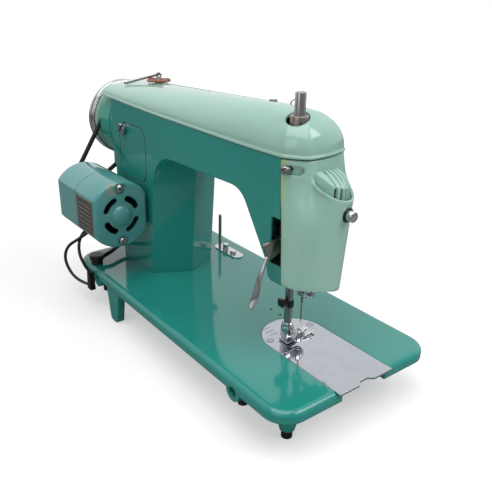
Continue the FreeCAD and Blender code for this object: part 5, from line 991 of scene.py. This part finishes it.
def makePresserFoot():
    p = presserFoot
    parts = [
        slab(p["shank"], "XZ", -p["shankHalf"], p["shankHalf"], p["shankEdge"]),
        lathe(p["collar"]),
        slab(p["ankle"], "YZ", -p["ankleHalf"], p["ankleHalf"], p["ankleEdge"]),
        slab(box(*p["bridge"]), "YZ", -p["bridgeHalf"], p["bridgeHalf"], p["bridgeEdge"]),
    ]
    parts += [slab(p["toe"], "YZ", *reach, p["toeEdge"]) for reach in p["toes"]]
    foot = stood(merged(*parts), alongZ, (*presserLine, 0))
    makePiece("presserFoot", foot, "presser", "chrome", "presser_foot")
    thumb = lathe(p["thumb"], steps=p["thumbSteps"])
    for v in thumb.verts:
        step = round(atan2(v.co.y, v.co.x) / tau * p["thumbSteps"])
        if v.co.xy.length > p["milledFrom"] and step % 2:
            v.co.xy = v.co.xy * p["milledTo"]
    thumb = settled(thumb, cutters=[slit(*p["slit"])])
    makePiece("footThumbScrew", stood(thumb, alongX, p["thumbAt"]), "presser", "chrome", sharp=30)


makePresserFoot()

# clamps: black collar with its block on the presser bar, bright clamp with its screw on the needle bar
clamps = {
    "collar": [
        (35.6, 3.52), (35.6, 4.3), (36, 4.6), (41.4, 4.6), (41.8, 4.3), (41.8, 3.52), (35.6, 3.52),
    ],
    "block": [
        (16.6, 36.6), (19.4, 36.2), (21.6, 36.8), (23.4, 39.4), (23.4, 44.6), (22.6, 45.4), (19.8, 45),
        (16.6, 42),
    ],
    "blockHalf": 3.4, "blockEdge": 0.6,
    "body": [
        (42, 1.1), (42, 3.2), (43, 4.3), (45.2, 4.5), (45.8, 5.2), (51.6, 5.2), (52.6, 4.6), (52.9, 3.6),
        (52.9, 1.1), (42, 1.1),
    ],
    "screw": [
        (-14, 0), (-14, 2.2), (-13.5, 2.7), (-8.6, 2.7), (-8.2, 2.2), (-8, 1.5), (-4.6, 1.5), (-4.6, 0),
    ],
    "screwZ": 47.6, "eye": (-108.4, -1.2, 42.8), "eyeWire": (2, 0.5),
}


def makeClamps():
    x, y, half = bars["x"], bars["needleY"], clamps["blockHalf"]
    collar = lathe(clamps["collar"], alongZ, (*presserLine, 0), 32)
    block = slab(clamps["block"], "YZ", x - half, x + half, clamps["blockEdge"])
    makePiece("footClamp", merged(collar, block), "presser", "blackSteel", "foot_clamp")
    body = lathe(clamps["body"], alongZ, (x, y, 0), 32)
    screw = lathe(clamps["screw"], alongX, (x, y, clamps["screwZ"]), 24)
    eye = wireRing(*clamps["eyeWire"], alongZ, clamps["eye"], 20)
    makePiece("needleClamp", merged(body, screw, eye), "needle_slider", "chrome", "needle_clamp")


makeClamps()
print("presser pieces made")

# screws: pairs of round heads on the motor and the needle plate, and two slotted knobs on the rear side
motorLine = (74.7, 74.9)
motorScrewRise = 28.5
screws = {
    "motorX": 89.3, "motorHead": (4.3, 3), "plateX": -94, "plateY": 24.5, "plateHead": (3.15, 0.4),
    "plateSink": -0.1,
    # the side of a pair, and how far the slots of the motor's and the plate's heads are turned
    "pairs": [(1, 1.5, 1), (-1, -0.5, 0)],
    "gap": [(0.02, 3.1), (0.02, 3.45), (0.06, 3.45), (0.06, 3.1), (0.02, 3.1)],
}
slottedKnobs = {
    "rearCoverKnob": {
        "node": "rear_cover_screw",
        "profile": [
            (36, 0), (36, 3), (41, 3), (41, 5.8), (41.5, 6.4), (45.4, 6.4), (46.1, 5.9), (46.5, 4.8),
            (46.5, 0),
        ],
        "at": (139, 0, 151),
        "steps": 36,
        "slit": (2.6, 2.8, 14, 0.75),
    },
    "faceCoverScrew": {
        "node": "face_cover_screw",
        "profile": [
            (17, 0), (17, 2.5), (30.6, 2.5), (30.6, 3.1), (31, 3.5), (34.4, 3.5), (35.2, 3), (35.6, 2),
            (35.6, 0),
        ],
        "at": (-111.4, 0, 164.4),
        "steps": 28,
        "slit": (1.5, 1.8, 12, 0.6),
    },
}


def screwHead(radius, height, turn, axis, at):
    head = lathe([
        (-1.5, 0), (-1.5, radius * 0.55), (0, radius * 0.55), (0, radius), (height * 0.35, radius * 0.97),
        (height * 0.8, radius * 0.72), (height, radius * 0.4), (height, 0),
    ], steps=28)
    cutter = slit(radius * 0.3, height * 0.6, 3 * radius, turn, at=(0, 0, height))
    return stood(settled(head, cutters=[cutter]), axis, at)


def makeScrews():
    s, (y, z) = screws, motorLine
    motor, plate, gaps = [], [], []
    for side, motorTurn, plateTurn in s["pairs"]:
        at = (s["motorX"], y, z + side * motorScrewRise)
        motor.append(screwHead(*s["motorHead"], motorTurn, (-1, 0, 0), at))
        at = (s["plateX"], side * s["plateY"])
        plate.append(screwHead(*s["plateHead"], plateTurn, alongZ, (*at, s["plateSink"])))
        gaps.append(lathe(s["gap"], alongZ, (*at, 0)))
    makePiece("motorScrews", merged(*motor), "frame", "darkChrome", "motor_screws")
    makePiece("plateScrews", merged(*plate), "frame", "plate", "needle_plate_screws")
    makePiece("plateScrewGaps", merged(*gaps), "frame", "blackSteel")
    for name, part in slottedKnobs.items():
        head = lathe(part["profile"], alongY, part["at"], part["steps"])
        x, _, z = part["at"]
        cutter = slit(*part["slit"], alongY, (x, part["profile"][-1][0], z))
        makePiece(name, settled(head, cutters=[cutter]), "frame", "darkChrome", part["node"])


makeScrews()

# spool pin's seat: washer, two wire eyes at its hinge and a felt disc worn out of true
spoolSeat = {
    "at": (146, -7, 196.4),
    "washer": [
        (-2.6, 0), (-2.6, 5), (-0.1, 5), (-0.1, 2.9), (2.4, 2.9), (2.4, 4.4), (3.2, 4.2), (3.6, 3.4),
        (3.6, 0),
    ],
    "eyesUp": 6.4, "eyesApart": 2.6, "across": (-0.857, 0.515, 0), "eyeWire": (2.5, 0.6),
    "felt": [
        (0, 3), (0, 12), (0.4, 12.8), (1.2, 13.1), (1.9, 12.7), (2.2, 11.8), (2.2, 3), (0, 3),
    ],
    "feltRadius": 13, "flatTo": 0.35,
    # size, count round the disc and start of its waves up and down and of its wavy edge
    "waves": [(0.5, 3, 0.6), (0.3, 7, 0)],
    "wavyEdge": (0.02, 5, 1),
}


def makeSpoolSeat():
    s = spoolSeat
    at, across = Vector(s["at"]), Vector(s["across"])
    parts = [lathe(s["washer"], alongZ, at, 28)]
    hinge = at + Vector(alongZ) * s["eyesUp"]
    for side in (-1, 1):
        parts.append(wireRing(*s["eyeWire"], across, hinge + across * s["eyesApart"] * side, 24))
    makePiece("spoolBracket", merged(*parts), "frame", "darkChrome", "spool_bracket")
    felt = lathe(s["felt"], steps=60)
    edge, edgeCount, edgeStart = s["wavyEdge"]
    for vert in felt.verts:
        turn = atan2(vert.co.y, vert.co.x)
        reach = vert.co.xy.length / s["feltRadius"]
        wave = sum(size * sin(count * turn + start) for size, count, start in s["waves"])
        vert.co.z += wave * max(0, reach - s["flatTo"])
        vert.co.xy = vert.co.xy * (1 + edge * sin(edgeCount * turn + edgeStart) * reach)
    makePiece("spoolFelt", stood(felt, alongZ, at), "frame", "felt", "spool_felt", 40)


makeSpoolSeat()

# motor end bell: flat sides, a soft end, four slots with round ends, a dome and two sunk screw seats
motorBell = {
    "radius": 35.5, "half": 29.5, "front": 88.5, "seam": 133.98, "wall": 3, "edge": 4, "slotRadius": 17.9,
    "slotHalf": 3.2, "slotFrom": 24, "slotTo": 66, "slotReach": (85.5, 93),
    "seat": [(85.5, 0), (85.5, 6.6), (89.4, 5.9), (89.4, 0)],
    "dome": [
        (94, 0), (94, 10.8), (88.4, 10.8), (87.2, 10.2), (85.4, 8.6), (84, 6.2), (83.2, 3.4), (82.9, 0),
    ],
}


def bellOutline(inset):
    radius = motorBell["radius"] - inset
    reach = asin((motorBell["half"] - inset) / radius)
    points = []
    for base in (pi / 2, -pi / 2):
        points += [polar(motorLine, radius, base + reach - reach * i / 12) for i in range(25)]
    return points


def ventSlot(quarter):
    m = motorBell
    middle, half = m["slotRadius"], m["slotHalf"]
    first, last = (radians(90 * quarter + m[key]) for key in ("slotFrom", "slotTo"))
    points = []
    for start, end, side, turn in ((first, last, half, last), (last, first, -half, first + pi)):
        points += [polar(motorLine, middle + side, start + (end - start) * i / 12) for i in range(13)]
        cap = polar(motorLine, middle, end)
        points += [polar(cap, half, turn + pi * i / 8) for i in range(1, 8)]
    return prism(points, "YZ", *m["slotReach"])


def makeMotorBell():
    m, (y, z) = motorBell, motorLine
    body = prism(bellOutline(0), "YZ", m["front"], m["seam"])
    rim = [edge for edge in body.edges if all(v.co.x < m["front"] + 0.1 for v in edge.verts)]
    bmesh.ops.bevel(body, geom=rim, offset=m["edge"], affect="EDGES", segments=6, profile=0.5)
    cuts = [prism(bellOutline(m["wall"]), "YZ", m["front"] + m["wall"], m["seam"] + m["wall"])]
    cuts += [ventSlot(quarter) for quarter in range(4)]
    cuts += [lathe(m["seat"], alongX, (0, y, z + side * motorScrewRise), 32) for side in (1, -1)]
    dome = lathe(m["dome"], alongX, (0, y, z), 48)
    shell = merged(settled(body, cutters=cuts), dome)
    makePiece("motorBell", shell, "frame", "motorBlue", "motor_front_bell", 32)


makeMotorBell()

# bare rating plate with a bright border and ruled lines on the motor's flat side
ratingPlate = {
    "low": (93, 55.8), "high": (131, 92.6), "face": 104.2, "sunk": 0.2, "border": 1.3, "borderUp": 0.35,
    "edge": 0.15, "fieldUp": 0.42, "rules": 6, "lastGap": 1.6, "margin": 4, "rule": 0.5, "ruleUp": 0.5,
}


def makeRatingPlate():
    r = ratingPlate
    y, border, margin, rules = r["face"], r["border"], r["margin"], r["rules"]
    (x0, z0), (x1, z1) = r["low"], r["high"]
    lines = [slab(box(r["low"], r["high"]), "XZ", y - r["sunk"], y + r["borderUp"], r["edge"])]
    for i in range(1, rules + 1):
        z = z0 + (z1 - z0) * i / (rules + r["lastGap"])
        lines.append(prism(box((x0 + margin, z), (x1 - margin, z + r["rule"])), "XZ", y, y + r["ruleUp"]))
    makePiece("ratingPlateBorder", merged(*lines), "frame", "darkChrome")
    field = box((x0 + border, z0 + border), (x1 - border, z1 - border))
    field = prism(field, "XZ", y, y + r["fieldUp"])
    makePiece("ratingPlateField", field, "frame", "printBlack")


makeRatingPlate()
print("screws, spool seat, motor bell and rating plate made")

# stage: pale floor, white surround, a dark card that only bright metal sees, soft light from above
studio = {
    "floorHalf": 12, "floorGrey": 0.6, "floorInMirrors": 0.26, "liftNear": 0.47, "liftFar": 0.9,
    "liftReach": (0.2, 1.6), "surround": 0.3, "mirrorNear": 0.22, "mirrorTurn": (-0.35, 0.5),
    "farSide": (0.79, -0.61, 0.05),
    "card": {"at": (-0.62, 0.4, 0.004), "size": (0.34, 0.9), "turn": 0.9, "colour": (0.02, 0.02, 0.022, 1)},
}
lamps = {
    "keyLamp": {"at": (-0.15, 0.35, 1.6), "size": 1.4, "power": 17},
    "sideLamp": {"at": (-1.1, -0.75, 1.45), "size": 0.9, "power": 13},
    "rearLamp": {"at": (-0.5, 1.7, 1), "size": 1, "power": 4},
}


def seenBy(f, *rays):
    # one where any of these kinds of ray looks, nothing elsewhere
    seen, *others = [f.node("LightPath", output=f"Is {ray} Ray") for ray in rays]
    for share in others:
        seen = f.math("MAXIMUM", seen, share)
    return seen


def stageSheet(name, half, material):
    bm = bmesh.new()
    bmesh.ops.create_grid(bm, x_segments=1, y_segments=1, size=half)
    data = meshOf(name, bm)
    data.materials.append(material)
    made = added(name, data)
    return made


def makeFloor():
    f = Finish("paleFloor")
    reach = f.vector("LENGTH", f.position())
    lift = f.ramp(reach, *studio["liftReach"], studio["liftNear"], studio["liftFar"])
    grey = studio["floorGrey"] + (studio["floorInMirrors"] - studio["floorGrey"]) * seenBy(f, "Glossy")
    sheet = f.node("BsdfDiffuse", {}, {"Color": grey})
    glow = f.node("Emission", {}, {"Strength": seenBy(f, "Camera", "Transmission") * lift})
    f.node("OutputMaterial", {}, {"Surface": f.node("AddShader", {}, {0: sheet, 1: glow})})
    stageSheet("paleFloor", studio["floorHalf"], f.block)


def makeCard():
    card = studio["card"]
    f = Finish("darkCard")
    f.node("OutputMaterial", {}, {"Surface": f.node("BsdfDiffuse", {}, {"Color": card["colour"]})})
    made = stageSheet("darkCard", 0.5, f.block)
    turn = Matrix.Translation(card["at"]) @ Matrix.Rotation(card["turn"], 4, "Z")
    made.data.transform(turn @ Matrix.Diagonal((*card["size"], 1, 1)))
    made.visible_camera = made.visible_diffuse = made.visible_shadow = made.visible_transmission = False


def makeSurround():
    f = Finish("whiteSurround", "worlds")
    scene.world = f.block
    far = f.vector("DOT_PRODUCT", f.node("TexCoord", output="Generated"), studio["farSide"])
    mirrored = seenBy(f, "Glossy") * f.ramp(far, *studio["mirrorTurn"], studio["mirrorNear"], 1)
    dim = f.math("MAXIMUM", mirrored, studio["surround"])
    level = f.math("MAXIMUM", seenBy(f, "Camera", "Transmission"), dim)
    sky = f.node("Background", {}, {"Color": (1, 1, 1, 1), "Strength": level})
    f.node("OutputWorld", {}, {"Surface": sky})


def makeLamp(name, lamp):
    data = bpy.data.lights.new(name, "AREA")
    data.shape = "SQUARE"
    data.size = lamp["size"]
    data.energy = lamp["power"]
    light = added(name, data)
    light.location = lamp["at"]
    light.rotation_mode = "QUATERNION"
    light.rotation_quaternion = (-Vector(lamp["at"])).to_track_quat("-Z", "Y")


makeFloor()
makeCard()
makeSurround()
for lampName, lamp in lamps.items():
    makeLamp(lampName, lamp)
scene.view_settings.view_transform = "Standard"
print("stage lit")
